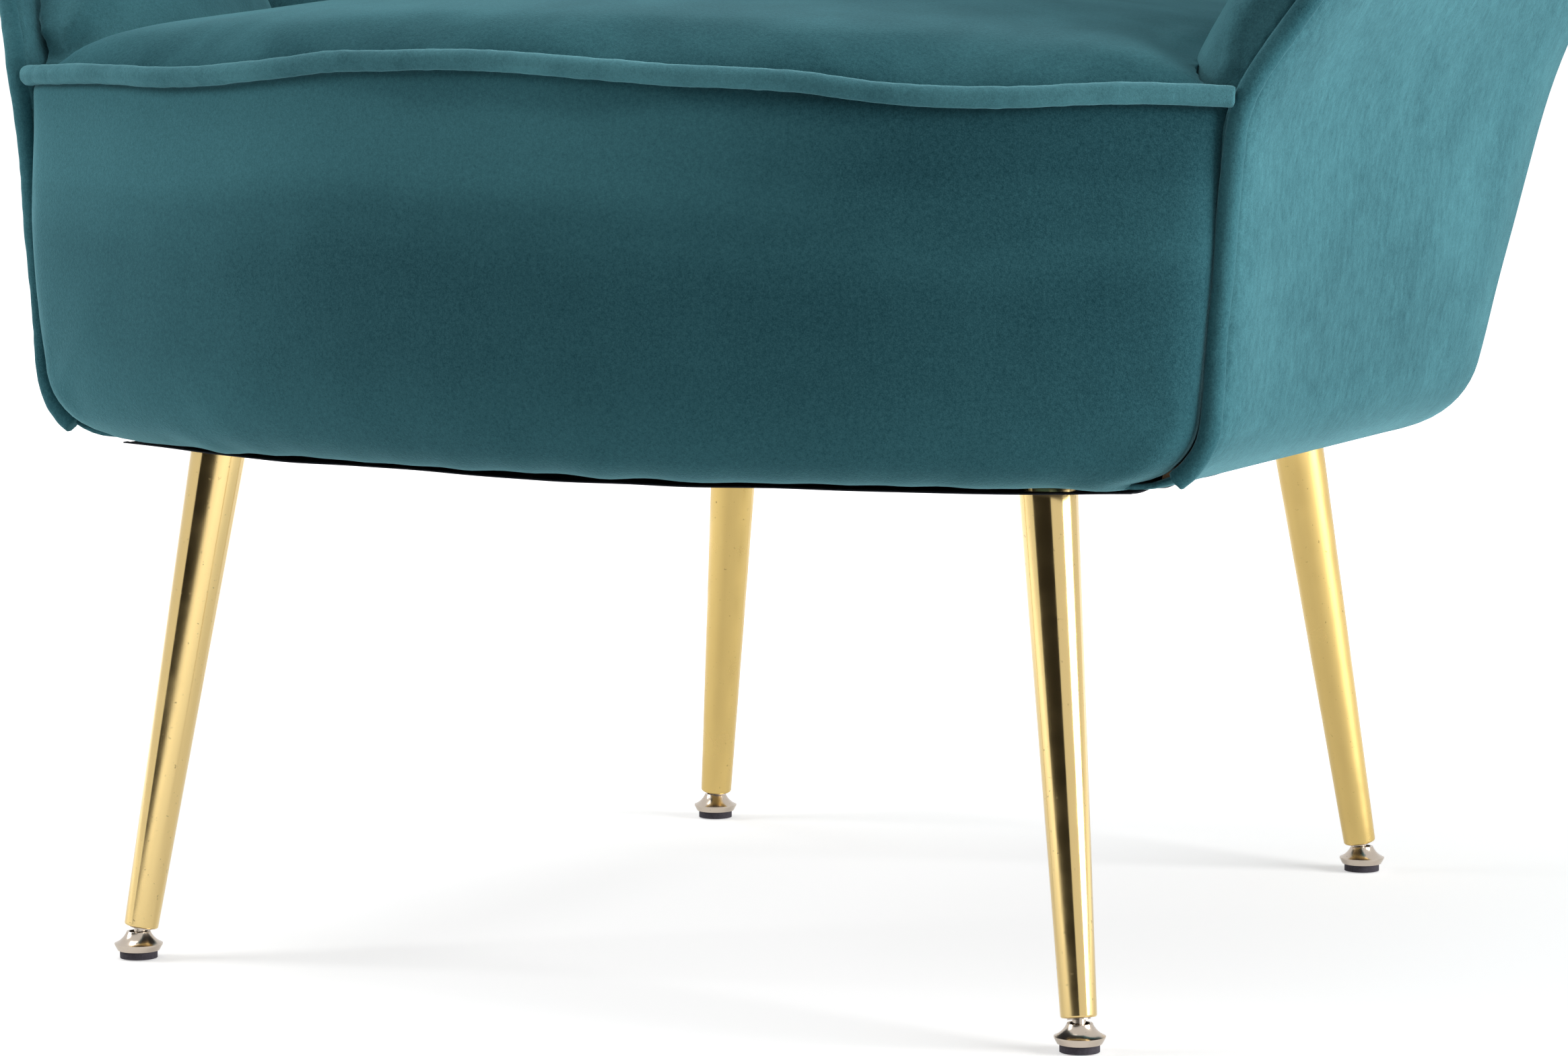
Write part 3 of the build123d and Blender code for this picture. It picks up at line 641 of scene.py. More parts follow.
def finish(name, shader, nodes, links):
    """A material made once: a shader with its values, and nodes on the piece's own coordinates."""
    material = bpy.data.materials.get(name)
    if material:
        return material
    material = bpy.data.materials.new(name)
    material.use_nodes = True
    material.node_tree.nodes.clear()
    ends = {
        "out": ("OutputMaterial",),
        "shader": ("BsdfPrincipled", shader),
        "place": ("TexCoord",),
    }
    ties = ("shader.BSDF>out.Surface", "colour.2>shader.Base Color", "bump.Normal>shader.Normal")
    wire(material.node_tree, ends | nodes, (*ties, *links))
    return material


def velvet(name, painted_lightness, sheen, streaks=0.0, apron_light=False):
    """Short pile velvet: brushed patches, a fine nap, and bright where it is seen edge on, with each piece's
    pile painted lighter or darker by its own share, as painted light and shade.
    """
    colours = bpy.context.scene.chair_colours
    deep, pile, light = colours.pile_deep, colours.pile, colours.pile_light
    shader = {
        "Roughness": 0.85,
        "Specular IOR Level": 0.05,
        "Sheen Weight": sheen,
        "Sheen Roughness": 0.42,
        "Sheen Tint": (0.40, 0.82, 0.92, 1),
    }
    nodes = {
        "nap": put(nap_effect(), Grain=640.0),
        "brushed": put(patches_effect(), Patches=8.0),
        # ground: the pile's tone raised towards the light tone by each piece's own share, painted light and
        # shade per piece
        "ground": mix(deep, [a + (b - a) * (0.3 + painted_lightness) for a, b in zip(pile, light)]),
        "dark": mix(deep, deep, 0.35),
        "bright": mix(pile, light, 0.28),
        "colour": mix(deep, light),
        "bump": bump(0.35, 0.0008),
    }
    links = [
        "place.Object>nap.Vector", "place.Object>brushed.Vector", "ground.2>dark.6", "ground.2>bright.6",
        "nap.Fleck>colour.0", "dark.2>colour.6", "bright.2>colour.7", "nap.Height>bump.Height",
    ]
    if streaks or apron_light:
        pattern = {"node_tree": band_effect()} if apron_light else {"node_tree": streaks_effect(), "Share": streaks}
        nodes["pattern"] = ("Group", pattern)
        links += ["place.Object>pattern.Vector", "brushed.Mask>pattern.Patches", "pattern.Mask>ground.0"]
    else:
        links.append("brushed.Mask>ground.0")
    return finish(name, shader, nodes, links)


def metal(name, tone, dark, rough, fine):
    """Plated metal with faint clouding and small specks, darker by a share."""
    nodes = {
        "marks": put(specks_effect(), Grain=fine),
        "colour": mix(tone, [c * dark for c in tone]),
        "gloss": spread(0.3, 0.7, rough * 0.8, rough * 1.25),
        "bump": bump(0.08, 0.0002),
    }
    links = (
        "place.Object>marks.Vector", "marks.Mask>colour.0", "marks.Cloud>gloss.Value",
        "gloss.Result>shader.Roughness", "marks.Mask>bump.Height",
    )
    return finish(name, {"Metallic": 1.0}, nodes, links)


def matte(name, tone, rough, fine, contrast, depth):
    """Cloth or felt in one colour with a fine grain."""
    low, high = [c * (1 - contrast) for c in tone], [min(1, c * (1 + contrast)) for c in tone]
    nodes = {
        "nap": put(nap_effect(), Grain=fine),
        "colour": mix(low, high),
        "bump": bump(0.4, depth),
    }
    links = ("place.Object>nap.Vector", "nap.Fleck>colour.0", "nap.Height>bump.Height")
    return finish(name, {"Roughness": rough}, nodes, links)


def wood(name, tone):
    """Straight-grained hardwood or ply."""
    nodes = {
        "stretch": ("Mapping", {"Scale": (14.0, 90.0, 90.0)}),
        "rings": grain(Scale=1.0, Detail=4.0, Distortion=0.6),
        "colour": mix([c * 0.72 for c in tone], tone),
        "bump": bump(0.15, 0.0004),
    }
    links = (
        "place.Object>stretch.Vector", "stretch.Vector>rings.Vector", "rings.Fac>colour.0",
        "rings.Fac>bump.Height",
    )
    return finish(name, {"Roughness": 0.6}, nodes, links)


# Pieces -----------------------------------------------------------------------------------------

TURN_ROWS, HEM_ROWS, WALL_ROWS, LINING_ROWS = 5, 11, 56, 24  # rows of the outer cover, from hem to lining
COVER_STEPS = (0, 0.7, 1.6, 2.8, 4.3, 6.5, 9.5, 13.5, 18.5)  # mm behind the outer cover's front edge
COVER_STEP = 6.5  # mm between its columns further back
RIM_DROPS = (0.009, 0.006, 0.0042, 0.0028, 0.0016, 0.0007, 0.0)  # its rows below the rim
COVER_ROLL = 0.0062  # how near the piping it starts to roll in
COVER_SWELL, SWELL_AT = 0.0016, 0.02  # how far it swells beside the piping, and how far from it
LINING_GAP = 0.0004  # between the shell and the velvet inside it
PAD_VOXEL, PAD_CAP = 0.0042, 0.006  # mesh of the pads, and the most that filling moves it
LEFT_SEED, CENTRE_SEED = 20, 9  # unevenness of the left pads and of the middle channel
LOBE_AT, LOBE_SPREAD = 0.08, 0.05  # where the arm pads swell over the seat, behind the front corners
RIGHT_FOLD = 0.25  # folds of the right arm pad, as a share of the left one's
SEAT_VOXEL, SEAT_CAP = 0.004, 0.004  # mesh of the seat, and the most that filling moves it
NEAR_CURVE = 0.006  # how near its even curve a point of the seat's mesh counts as part of it
SEAT_GAP = 0.0015  # between the seat and the back of the apron's cover
APRON_STEPS = (0, 0.8, 1.8, 3.2, 5.0, 7.5, 11, 16, 22)  # mm from the apron's side edge
APRON_STEP, APRON_HALF = 6.2, 295  # mm between its columns further in, and to its middle
APRON_TURN_ROWS, APRON_HEM_ROWS, APRON_ROWS = 5, 10, 24  # its rows from hem to seam
SEAM_DROPS = (0.010, 0.007, 0.0048, 0.003, 0.0017, 0.0008, 0.0)  # its rows below the seam
SEAM_ROLL, SIDE_ROLL = 0.006, 0.011  # how near its seam and its sides it starts to roll in
SEWN_IN = 0.75  # share of the piping's radius that the apron reaches under
PIPING_VOXEL = 0.0011
CORD_END, CORD_RUN, CORD_SHIFT = 0.27, 0.035, 0.002  # start of the seat piping's ends, their run and shift
DUST_COLUMNS, DUST_ROWS = 181, 161


def roll(distance, radius):
    """How far a cover's edge turns in at a distance from the edge."""
    if distance >= radius:
        return 0.0
    return radius - math.sqrt(max(radius**2 - (radius - distance) ** 2, 0))


def pull_fold(point, tub, seed):
    """Folds that fan out from the seat's front corner, from -1 to 1."""
    along, rise = point[1] - tub.middle - tub.s.front_y, point[2] - tub.seam
    reach = math.hypot(along, rise)
    turn = 11 * math.atan2(rise, along) + 2.6 * wobble(point, 16.0, seed)
    return math.sin(turn) * math.exp(-reach / 0.06) * min(1.0, reach / 0.015)


class CHAIR_OT_outer_cover(bpy.types.Operator):
    """Velvet over the outside of the tub, rolled in at the piping and turned under at the hem"""

    bl_idname = "chair.outer_cover"
    bl_label = "Outer cover"

    def execute(self, context):
        tub = Tub()
        s = tub.s
        rim = tub.rim_line()
        upright = [(rim[0][0], z) for z in np.arange(s.underside, rim[0][1], 0.001)]
        boundary = np.vstack([upright, rim])
        half = tub.half_length(tub.seam) * 1000
        steps = list(COVER_STEPS)
        while steps[-1] < half - 7.5:
            steps.append(steps[-1] + COVER_STEP)
        shares = [step / half for step in steps] + [1.0]
        columns = [(-1, share) for share in shares] + [(1, share) for share in reversed(shares[:-1])]
        profiles = {share: self.profile(tub, share, rim) for share in shares}
        rows = len(profiles[1.0])
        outside = rows - 2 - LINING_ROWS

        def place(i, j):
            sign, share = columns[i]
            z, inset = profiles[share][j]
            point, _ = tub.wall_point(share, z, inset)
            if j < outside:
                away = float(np.sqrt(((boundary - (point.y, point.z)) ** 2).sum(1)).min())
                inset += roll(away, COVER_ROLL)
                swell = COVER_SWELL * (away / SWELL_AT) * math.exp(1 - away / SWELL_AT)
                spot = (sign * point.x, point.y, point.z)
                uneven = 0.0011 * wobble(spot, 9.0, 3.0) + 0.0005 * wobble(spot, 26.0, 8.0)
                fade = min(1.0, away / 0.015) * min(1.0, max(z - s.underside, 0.0) / 0.03)
                point, _ = tub.wall_point(share, z, inset - (swell + uneven) * fade)
            return sign * -point.x, point.y + tub.middle, point.z

        cover = grid("outer_cover_velvet", len(columns), rows, place)
        edit_all(cover, bpy.ops.mesh.normals_make_consistent, inside=False)
        rear = max(cover.data.polygons, key=lambda face: face.center.y)
        if rear.normal.y < 0:
            cover.data.flip_normals()
        apply_modifier(cover, "SOLIDIFY", thickness=s.cover * 0.9, offset=-1.0)
        # outside pile painted lighter (0.9): painted light
        dress(cover, velvet("Velvet, outside", 0.9, 0.5, streaks=0.4), "velvet", "outer_cover")
        return {"FINISHED"}

    def profile(self, tub, share, rim):
        """Rows of height and inset: under the hem, up the outside, over the rim and down the lining."""
        s = tub.s
        base, out = tub.wall_point(share, s.underside)
        higher, _ = tub.wall_point(share, s.underside + 0.01)
        slope = (higher - base).dot(out) / 0.01
        turn = math.pi / 2 - math.atan(slope)
        reach = s.hem_r * math.tan(turn / 2)
        under = reach + s.hem_turn
        rows = [(s.underside, under - s.hem_turn * i / TURN_ROWS) for i in range(TURN_ROWS)]
        for i in range(HEM_ROWS + 1):
            angle = turn * i / HEM_ROWS
            z = s.underside + s.hem_r * (1 - math.cos(angle))
            rows.append((z, slope * (z - s.underside) + reach - s.hem_r * math.sin(angle)))
        top = tub.seam
        for _ in range(40):
            y = tub.wall_point(share, top)[0].y
            top = (top + float(np.interp(y, rim[:, 0], rim[:, 1]))) / 2
        low, high = rows[-1][0], top - RIM_DROPS[0]
        rows += [(low + (high - low) * i / WALL_ROWS, 0.0) for i in range(1, WALL_ROWS)]
        rows += [(top - drop, 0.0) for drop in RIM_DROPS]
        lining = s.wall + LINING_GAP
        rows += [(top - 0.0005, s.wall * 0.75), (top - 0.002, lining)]
        deep = max(s.lining_turn, top - tub.seam)
        return rows + [(top - deep * i / LINING_ROWS, lining) for i in range(1, LINING_ROWS + 1)]


class CHAIR_OT_lining(bpy.types.Operator):
    """Arm pads and fanned back channels, filled and drawn in along their seams"""

    bl_idname = "chair.lining"
    bl_label = "Arm pads and back channels"

    def execute(self, context):
        pads = ["arm_pad"] + ["back_channel_" + str(i) for i in range(1, 5)]
        for number, pad in enumerate(pads):
            right = self.filled("right_" + pad)
            left = mirrored(right, "left_" + pad + "_velvet")
            self.complete(right, number, "right_" + pad)
            self.complete(left, number + LEFT_SEED, "left_" + pad)
        self.complete(self.filled("back_channel_centre"), CENTRE_SEED, "back_channel_centre")
        return {"FINISHED"}

    def filled(self, node):
        piece = copy_node(node + "_velvet", node)
        remesh(piece, PAD_VOXEL, 4)
        inflate(piece, PAD_CAP)
        return piece

    def complete(self, piece, seed, node):
        """Makes a pad a little uneven, gives an arm pad its lobe and folds, and dresses it."""
        tub = Tub()
        s = tub.s
        points = points_of(piece)
        push = np.array([0.0012 * wobble(p, 11.0, seed) + 0.0005 * wobble(p, 34.0, seed) for p in points])
        if node.endswith("arm_pad"):
            inward = np.maximum(-np.sign(points[:, 0]) * points_of(piece, "normal")[:, 0], 0)
            along = points[:, 1] - tub.middle - s.front_y
            deep = s.fold * (1.0 if node.startswith("left") else RIGHT_FOLD)
            folds = [deep * pull_fold(p, tub, seed) for p in points]
            push = push + folds + s.lobe * inward * np.exp(-(((along - LOBE_AT) / LOBE_SPREAD) ** 2))
        push_out(piece, points, push)
        # arm pads and channels painted lighter (1.1): painted light on their shaded inner faces
        dress(piece, velvet("Velvet, lining", 1.1, 0.4), "velvet", node)


class CHAIR_OT_seat(bpy.types.Operator):
    """Crowned seat cushion behind the piped front seam"""

    bl_idname = "chair.seat"
    bl_label = "Seat"

    def execute(self, context):
        tub = Tub()
        s = tub.s
        cushion = copy_node("seat_cushion", "seat_foam")
        remesh(cushion, SEAT_VOXEL, 3)
        self.true_up(cushion, tub)
        inflate(cushion, SEAT_CAP)
        pads = self.pads(tub)
        points = points_of(cushion)
        front_r = tub.bow_r - s.cover - SEAT_GAP
        for point in points:
            reach = math.hypot(point[0], point[1] - tub.middle - tub.bow_y)
            if reach > front_r and point[1] - tub.middle < tub.bow_y:
                point[0] *= front_r / reach
                point[1] = tub.middle + tub.bow_y + (point[1] - tub.middle - tub.bow_y) * front_r / reach
            x, y = point[0], point[1] - tub.middle
            behind = max(y - tub.bow_front(x, tub.bow_r), 0.0)
            beside = pads.find((point[0], point[1], 0))[2]
            upper = min(max((point[2] - tub.seam + 0.03) / 0.03, 0.0), 1.0)
            ease = math.exp(-behind / 0.05)
            swell = (1 - math.exp(-behind / 0.014)) * (1 - 0.35 * math.exp(-beside / 0.012))
            point[2] += upper * s.seat_plump * swell * math.exp(-behind / 0.15)
            point[2] += seam_wave(x) * ease + upper * 0.0022 * wobble(point, 7.0, 5.0) * (1 - ease)
        place_points(cushion, points)
        apply_modifier(cushion, "SMOOTH", factor=EASE, iterations=6)
        # seat pile painted darker than the outside and lining (0.4): painted shade
        dress(cushion, velvet("Velvet, seat", 0.4, 0.25), "velvet", "seat_foam", "seat_cover")
        return {"FINISHED"}

    def true_up(self, cushion, tub):
        """Puts the crown and the front face back on their even curves."""
        points, normals = points_of(cushion), points_of(cushion, "normal")
        level = np.array([tub.dome_z(p[0], p[1] - tub.middle) - p[2] for p in points])
        crown = float(np.median(level[(normals[:, 2] > 0.9) & (level < 0.02)]))
        points[:, 2] += np.where(np.abs(level - crown) < NEAR_CURVE, level - crown, 0.0)
        spokes = points[:, :2] - (0, tub.middle + tub.bow_y)
        reach = np.linalg.norm(spokes, axis=1)
        ahead = (spokes[:, 1] < 0) & (reach > tub.bow_r - 0.03)
        face = float(np.median(reach[ahead & (np.abs(normals[:, 2]) < 0.3)]))
        near = ahead & (np.abs(reach - face) < NEAR_CURVE)
        points[near, :2] += spokes[near] * (face / reach[near] - 1)[:, None]
        place_points(cushion, points)

    def pads(self, tub):
        """The feet of the pads in plan, to find how far the seat is from them."""
        rows = []
        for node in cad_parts:
            if "arm_pad" in node or "back_channel" in node:
                points = points_of(bpy.data.objects[node + "_velvet"])
                rows += [(p[0], p[1], 0) for p in points if abs(p[2] - tub.seam) < 0.03]
        return tree_of(rows)


class CHAIR_OT_apron(bpy.types.Operator):
    """Padded, bowed apron between the seat's piping, the arms' piping and the hem"""

    bl_idname = "chair.apron"
    bl_label = "Apron"

    def execute(self, context):
        tub = Tub()
        s = tub.s
        inset = s.wall / 2 + s.piping_r * SEWN_IN
        corner = s.hem_r - inset
        floor = s.underside + inset - s.wall / 2
        steps = list(APRON_STEPS)
        while steps[-1] < APRON_HALF:
            steps.append(steps[-1] + APRON_STEP)
        half = [1 - step / steps[-1] for step in steps]
        across = [-a for a in half] + [a for a in reversed(half[:-1])]

        def side(z):
            """Half width of the apron at a height, round its lower corners."""
            wide = tub.level(max(z, s.underside))[1] - inset
            if z >= floor + corner:
                return wide
            rise = max(z - floor, 0)
            return wide - corner + math.sqrt(max(corner**2 - (corner - rise) ** 2, 0))

        def below_seam(p):
            return tub.dome_z(p[0], p[1] - tub.middle) - p[2]

        def place(i, j):
            a = across[i]
            bottom = s.underside
            k = j - APRON_TURN_ROWS - APRON_HEM_ROWS
            if j < APRON_TURN_ROWS:
                z, back = bottom, s.apron_hem + s.apron_turn * (1 - j / APRON_TURN_ROWS)
            elif k <= 0:
                angle = math.pi / 2 * (j - APRON_TURN_ROWS) / APRON_HEM_ROWS
                z = bottom + s.apron_hem * (1 - math.cos(angle))
                back = s.apron_hem * (1 - math.sin(angle))
            else:
                x = a * side(tub.seam)
                y = tub.bow_front(x, tub.bow_r)
                top = tub.dome_z(x, y) - s.piping_r * SEWN_IN + seam_wave(x)
                low, high = bottom + s.apron_hem, top - SEAM_DROPS[0]
                z = low + (high - low) * k / APRON_ROWS
                if k >= APRON_ROWS:
                    z = top - SEAM_DROPS[k - APRON_ROWS]
                back = roll(top - z, SEAM_ROLL) * 0.8
            t = (z - bottom) / (tub.seam - bottom)
            z += 0.0016 * wobble((a, 0, 0), 11.0, 3.0) * max(0.0, 1 - t / 0.12)
            bulge = 4 * s.apron_bulge * t * (1 - t) if 0 < t < 1 else 0.0
            wide = side(z)
            x = a * wide
            back += roll((1 - abs(a)) * wide, SIDE_ROLL)
            y = tub.bow_front(x, tub.bow_r + bulge - back)
            return x, y + tub.middle, z

        rows = APRON_TURN_ROWS + APRON_HEM_ROWS + APRON_ROWS + len(SEAM_DROPS)
        panel = grid("apron_panel", len(across), rows, place)
        if panel.data.polygons[len(panel.data.polygons) // 2].normal.y > 0:
            panel.data.flip_normals()
        points = points_of(panel)
        low = points[:, 2] < s.underside + 0.012
        edge = np.array([(side(p[2]) - abs(p[0])) < 0.003 for p in points])
        tops = np.array([below_seam(p) for p in points]) < 0.009
        inflate(panel, 0.004, low | edge | tops)
        points = points_of(panel)
        push = []
        for p in points:
            fade = min(1, max(0.0, below_seam(p) - 0.006) / 0.02)
            push.append(fade * (0.0012 * wobble(p, 8.0, 2.0) + 0.0004 * wobble(p, 30.0, 6.0)))
        push_out(panel, points, push)
        apply_modifier(panel, "SOLIDIFY", thickness=s.cover, offset=-1.0)
        # apron pile painted darker (0.3), with its painted highlight bands, painted sheen at the left and
        # painted shadow under the piping
        dress(panel, velvet("Velvet, apron", 0.3, 0.7, apron_light=True), "velvet", "apron_cover", "apron_padding")
        return {"FINISHED"}


class CHAIR_OT_piping(bpy.types.Operator):
    """Velvet piping along the seat's front seam and round the rim, a little wavy as it was sewn"""

    bl_idname = "chair.piping"
    bl_label = "Piping"

    def execute(self, context):
        finishes = {
            # seat piping painted much lighter (1.5) than the rim piping (0.3): painted highlight
            "seat_piping": ("Velvet, seat piping", 1.5, 0.6),
            "rim_piping": ("Velvet, rim piping", 0.3, 0.5),
        }
        for node, pile in finishes.items():
            cord = copy_node(node + "_cord", node)
            remesh(cord, PIPING_VOXEL, 8)
            points = points_of(cord)
            for point in points:
                spot = point.copy()
                if node == "seat_piping":
                    turn = min(max((abs(spot[0]) - CORD_END) / CORD_RUN, 0.0), 1.0)
                    point[:2] += (CORD_SHIFT * turn, CORD_SHIFT * turn**2)
                    point[2] += seam_wave(spot[0])
                point += [0.0007 * wobble(spot, 28.0, seed) for seed in (1.0, 5.0, 9.0)]
            place_points(cord, points)
            push_out(cord, points, [0.00025 * wobble(p, 160.0, 4.0) for p in points])
            dress(cord, velvet(*pile), "velvet", node)
        return {"FINISHED"}


class CHAIR_OT_dust_cover(bpy.types.Operator):
    """Unwoven cloth stapled under the frame, hanging a little between its staples"""

    bl_idname = "chair.dust_cover"
    bl_label = "Dust cover"

    def execute(self, context):
        tub = Tub()
        s = tub.s
        inset = s.hem_r + s.dust_inset
        front_r = tub.bow_r - s.apron_hem - s.dust_inset
        _, front_w, rear_w, rear_y, corner = tub.level(s.underside)
        slope = (rear_w - front_w) / (rear_y - s.front_y)
        corner -= inset
        rear = rear_y - inset

        def half(y):
            return front_w - inset + slope * (y - s.front_y)

        turn = half(rear - corner) - corner  # where the rear corners start

        def place(i, j):
            across, back = 2 * i / (DUST_COLUMNS - 1) - 1, j / (DUST_ROWS - 1)
            x = across * half(s.front_y)
            low = tub.bow_front(x, front_r)
            past = max(abs(across) * half(rear - corner) - turn, 0.0)
            high = rear - corner + math.sqrt(max(corner**2 - past**2, 0.0))
            y = low + (high - low) * back
            return across * half(y), y + tub.middle, s.underside - 0.0004

        cloth = grid("dust_cover_cloth", DUST_COLUMNS, DUST_ROWS, place)
        if cloth.data.polygons[0].normal.z > 0:
            cloth.data.flip_normals()
        flat = points_of(cloth)
        tree = tree_of([cloth.data.vertices[i].co for i in self.border(cloth)])
        points = flat.copy()
        for point in points:
            away = tree.find(point)[2]
            run = point[1] / s.staple + 0.4 * wobble(point, 12.0, 7.0)
            scallop = abs(math.sin(math.pi * run)) if point[1] > tub.middle + s.front_y + 0.01 else 0.8
            slack = 0.75 + 0.35 * wobble(point, 9.0, 2.0) + 0.2 * wobble(point, 1 / s.staple, 4.0)
            edge_hang = slack * (0.35 + 0.65 * scallop)
            point[2] -= s.dust_sag * (edge_hang + (1.4 - edge_hang) * (1 - math.exp(-away / 0.03)))
        place_points(cloth, points)
        apply_modifier(cloth, "SOLIDIFY", thickness=0.0006, offset=1.0)
        tone = context.scene.chair_colours.cloth
        dress(cloth, matte("Dust cloth", tone, 0.9, 700.0, 0.35, 0.0004), "dust_cloth", "dust_cover")
        return {"FINISHED"}

    def border(self, cloth):
        """Points along the cloth's edge."""
        count = {}
        for face in cloth.data.polygons:
            for key in face.edge_keys:
                count[key] = count.get(key, 0) + 1
        return sorted({point for key, faces in count.items() if faces == 1 for point in key})


class CHAIR_OT_legs(bpy.types.Operator):
    """Gold finish on the legs, nickel on the levelling feet and dark pads under them"""

    bl_idname = "chair.legs"
    bl_label = "Legs and feet"

    def execute(self, context):
        colours = context.scene.chair_colours
        gold = metal("Gold plating", colours.gold, 0.35, 0.13, 420.0)
        brass = metal("Brass plating", colours.brass, 0.5, 0.32, 420.0)
        nickel = metal("Nickel plating", colours.nickel, 0.4, 0.2, 700.0)
        pad = matte("Hard felt", colours.foot, 0.85, 900.0, 0.4, 0.0003)
        for name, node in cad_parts.items():
            if name.endswith("_leg"):
                paint(node, brass if name.startswith("rear") else gold)
            elif name.endswith(("_foot_bell", "_foot_stem")):
                paint(node, nickel)
            elif name.endswith("_foot_pad"):
                paint(node, pad)
        return {"FINISHED"}


class CHAIR_OT_frame(bpy.types.Operator):
    """Finishes of the wooden frame, webbing and fixings inside the upholstery"""

    bl_idname = "chair.frame"
    bl_label = "Frame"

    def execute(self, context):
        colours = context.scene.chair_colours
        timber = wood("Hardwood", colours.wood)
        steel = metal("Zinc steel", colours.steel, 0.5, 0.35, 600.0)
        strap = matte("Webbing", colours.strap, 0.9, 500.0, 0.3, 0.0005)
        felt = matte("Felt", colours.felt, 0.95, 400.0, 0.25, 0.0008)
        wooden = ("tub_shell", "front_rail", "rear_rail", "left_rail", "right_rail", "corner_blocks")
        fixings = ("leg_studs", "leg_tee_nuts", "leg_top_plugs", "leg_end_inserts")
        screws = ("corner_block_screws", "shell_screws")
        straps = ("long_straps", "cross_straps")
        finishes = ((timber, wooden), (steel, fixings + screws), (strap, straps), (felt, ("felt_deck",)))
        for material, names in finishes:
            for name in names:
                paint(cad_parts[name], material)
        return {"FINISHED"}


SEEN_NODES = {  # 1 for what the camera sees, directly or in a shiny surface
    "path": ("LightPath",),
    "direct": math_node("ADD", use_clamp=True),
    "seen": math_node("ADD", use_clamp=True),
}
SEEN_LINKS = (
    "path.Is Camera Ray>direct.0", "path.Is Glossy Ray>direct.1", "direct.0>seen.0",
    "path.Is Transmission Ray>seen.1",
)
LAMPS = (  # name, place, width and height, watts
    ("side_lamp", (3.0, 0.1, 1.05), (1.8, 1.8), 95),
    ("left_lamp", (-2.7, -1.5, 1.6), (1.4, 1.4), 42),
    ("top_lamp", (-0.9, -0.1, 2.8), (1.5, 1.4), 25),
)
LAMP_AIM = 0.35  # height that the lamps point at
ROOM_LIGHT = 0.16  # what the white room gives off besides being seen


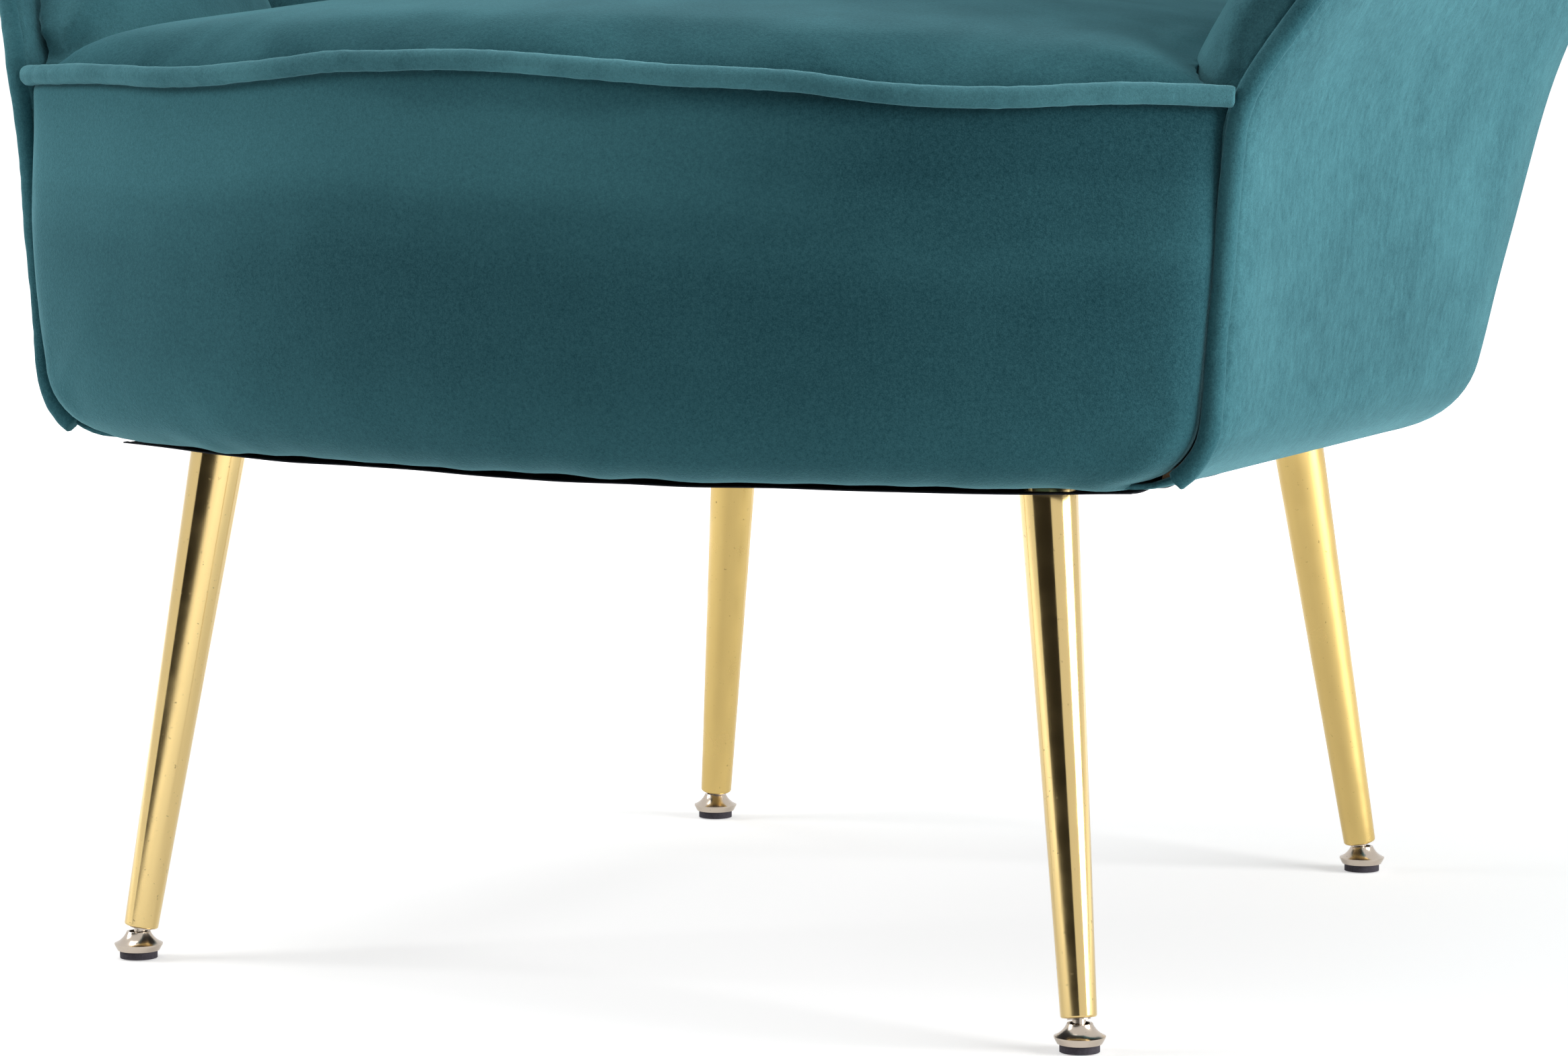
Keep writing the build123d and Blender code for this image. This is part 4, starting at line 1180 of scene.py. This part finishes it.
class CHAIR_OT_stage(bpy.types.Operator):
    """White studio with soft lamps, and the camera"""

    bl_idname = "chair.stage"
    bl_label = "Studio"

    def execute(self, context):
        scene = context.scene
        scene.view_settings.view_transform = "Standard"
        self.floor(scene)
        self.room(scene)
        self.flag()
        middle = feet_middle()
        for name, place, sizes, power in LAMPS:
            deselect()
            bpy.ops.object.light_add(type="AREA", location=place)
            lamp = context.object
            lamp.name = name
            lamp.data.shape = "RECTANGLE"
            lamp.data.size, lamp.data.size_y = sizes
            lamp.data.energy = power
            self.aim(lamp, Vector((0, middle, LAMP_AIM)) - Vector(place))
        stage = scene.chair_stage
        place = Vector((stage.camera_x, stage.camera_y + middle, stage.camera_z))
        target = Vector((stage.target_x, stage.target_y + middle, stage.target_z))
        deselect()
        bpy.ops.object.camera_add(location=place)
        camera = context.object
        self.aim(camera, target - place)
        camera.data.lens = stage.lens
        camera.data.sensor_width = 36
        scene.camera = camera
        return {"FINISHED"}

    def aim(self, thing, way):
        thing.rotation_mode = "QUATERNION"
        thing.rotation_quaternion = way.to_track_quat("-Z", "Y")

    def floor(self, scene):
        """A pale floor that is whiter far from the chair."""
        deselect()
        bpy.ops.mesh.primitive_plane_add(size=30, location=(0, 0, -0.0005))
        floor = bpy.context.object
        floor.name = "studio_floor"
        material = bpy.data.materials.new("Studio floor")
        material.use_nodes = True
        material.node_tree.nodes.clear()
        nodes = {
            "out": ("OutputMaterial",),
            "both": ("AddShader",),
            "ground": ("BsdfDiffuse", {"Color": (*scene.chair_colours.floor, 1)}),
            "glow": ("Emission",),
            "share": math_node("MULTIPLY"),
            "place": ("TexCoord",),
            "reach": ("VectorMath", {"operation": "LENGTH"}),
            "far": spread(0.45, 1.5, 0.5, 1.0, way="SMOOTHSTEP"),
        }
        links = (
            "place.Object>reach.0", "reach.Value>far.Value", "far.Result>share.1", "seen.0>share.0",
            "share.0>glow.Strength", "ground.BSDF>both.0", "glow.Emission>both.1", "both.Shader>out.Surface",
        )
        wire(material.node_tree, SEEN_NODES | nodes, SEEN_LINKS + links)
        floor.data.materials.append(material)

    def flag(self):
        """A dark studio panel behind the camera, seen only in shiny metal."""
        deselect()
        bpy.ops.mesh.primitive_plane_add(size=1, location=(0, 0, 0))
        panel = bpy.context.object
        panel.name = "studio_flag"
        turn = Matrix.Rotation(math.radians(-4), 4, "Z") @ Matrix.Translation((0, -3.6, 1.35))
        upright = Matrix.Rotation(math.radians(90), 4, "X") @ Matrix.Diagonal((5.0, 2.7, 1, 1))
        panel.data.transform(turn @ upright)
        panel.visible_camera = panel.visible_diffuse = panel.visible_shadow = False
        panel.visible_transmission = False
        material = bpy.data.materials.new("Studio flag")
        material.use_nodes = True
        shader = material.node_tree.nodes["Principled BSDF"]
        shader.inputs["Base Color"].default_value = (0.02, 0.018, 0.016, 1)
        shader.inputs["Roughness"].default_value = 1.0
        panel.data.materials.append(material)

    def room(self, scene):
        """White wherever it is seen, with a little light of its own."""
        world = bpy.data.worlds.new("Studio")
        scene.world = world
        world.use_nodes = True
        world.node_tree.nodes.clear()
        nodes = {
            "out": ("OutputWorld",),
            "light": ("Background", {"Color": (1, 1, 1, 1)}),
            "strength": spread(0.0, 1.0, first=ROOM_LIGHT),
        }
        links = ("seen.0>strength.Value", "strength.Result>light.Strength", "light.Background>out.Surface")
        wire(world.node_tree, SEEN_NODES | nodes, SEEN_LINKS + links)


STEPS = (
    CHAIR_OT_outer_cover,
    CHAIR_OT_lining,
    CHAIR_OT_seat,
    CHAIR_OT_apron,
    CHAIR_OT_piping,
    CHAIR_OT_dust_cover,
    CHAIR_OT_legs,
    CHAIR_OT_frame,
    CHAIR_OT_stage,
)


class CHAIR_PT_panel(bpy.types.Panel):
    """Steps that dress the chair, and its sizes and colours"""

    bl_label = "Cocktail Chair"
    bl_idname = "CHAIR_PT_panel"
    bl_space_type = "VIEW_3D"
    bl_region_type = "UI"
    bl_category = "Chair"

    def draw(self, context):
        column = self.layout.column(align=True)
        for step in STEPS:
            column.operator(step.bl_idname)
        for group in GROUPS:
            box = self.layout.box()
            values = getattr(context.scene, group)
            for name in values.bl_rna.properties.keys():
                if name not in ("rna_type", "name"):
                    box.prop(values, name)


GROUPS = {"chair_sizes": ChairSizes, "chair_colours": ChairColours, "chair_stage": ChairStage}
CLASSES = (*GROUPS.values(), *STEPS, CHAIR_PT_panel)


def register():
    for made in CLASSES:
        bpy.utils.register_class(made)
    for name, made in GROUPS.items():
        setattr(bpy.types.Scene, name, bpy.props.PointerProperty(type=made))


def unregister():
    for name in GROUPS:
        delattr(bpy.types.Scene, name)
    for made in reversed(CLASSES):
        bpy.utils.unregister_class(made)


def main():
    register()
    bpy.ops.chair.outer_cover()
    bpy.ops.chair.lining()
    bpy.ops.chair.seat()
    bpy.ops.chair.apron()
    bpy.ops.chair.piping()
    bpy.ops.chair.dust_cover()
    bpy.ops.chair.legs()
    bpy.ops.chair.frame()
    bpy.ops.chair.stage()


if __name__ == "__main__":
    main()
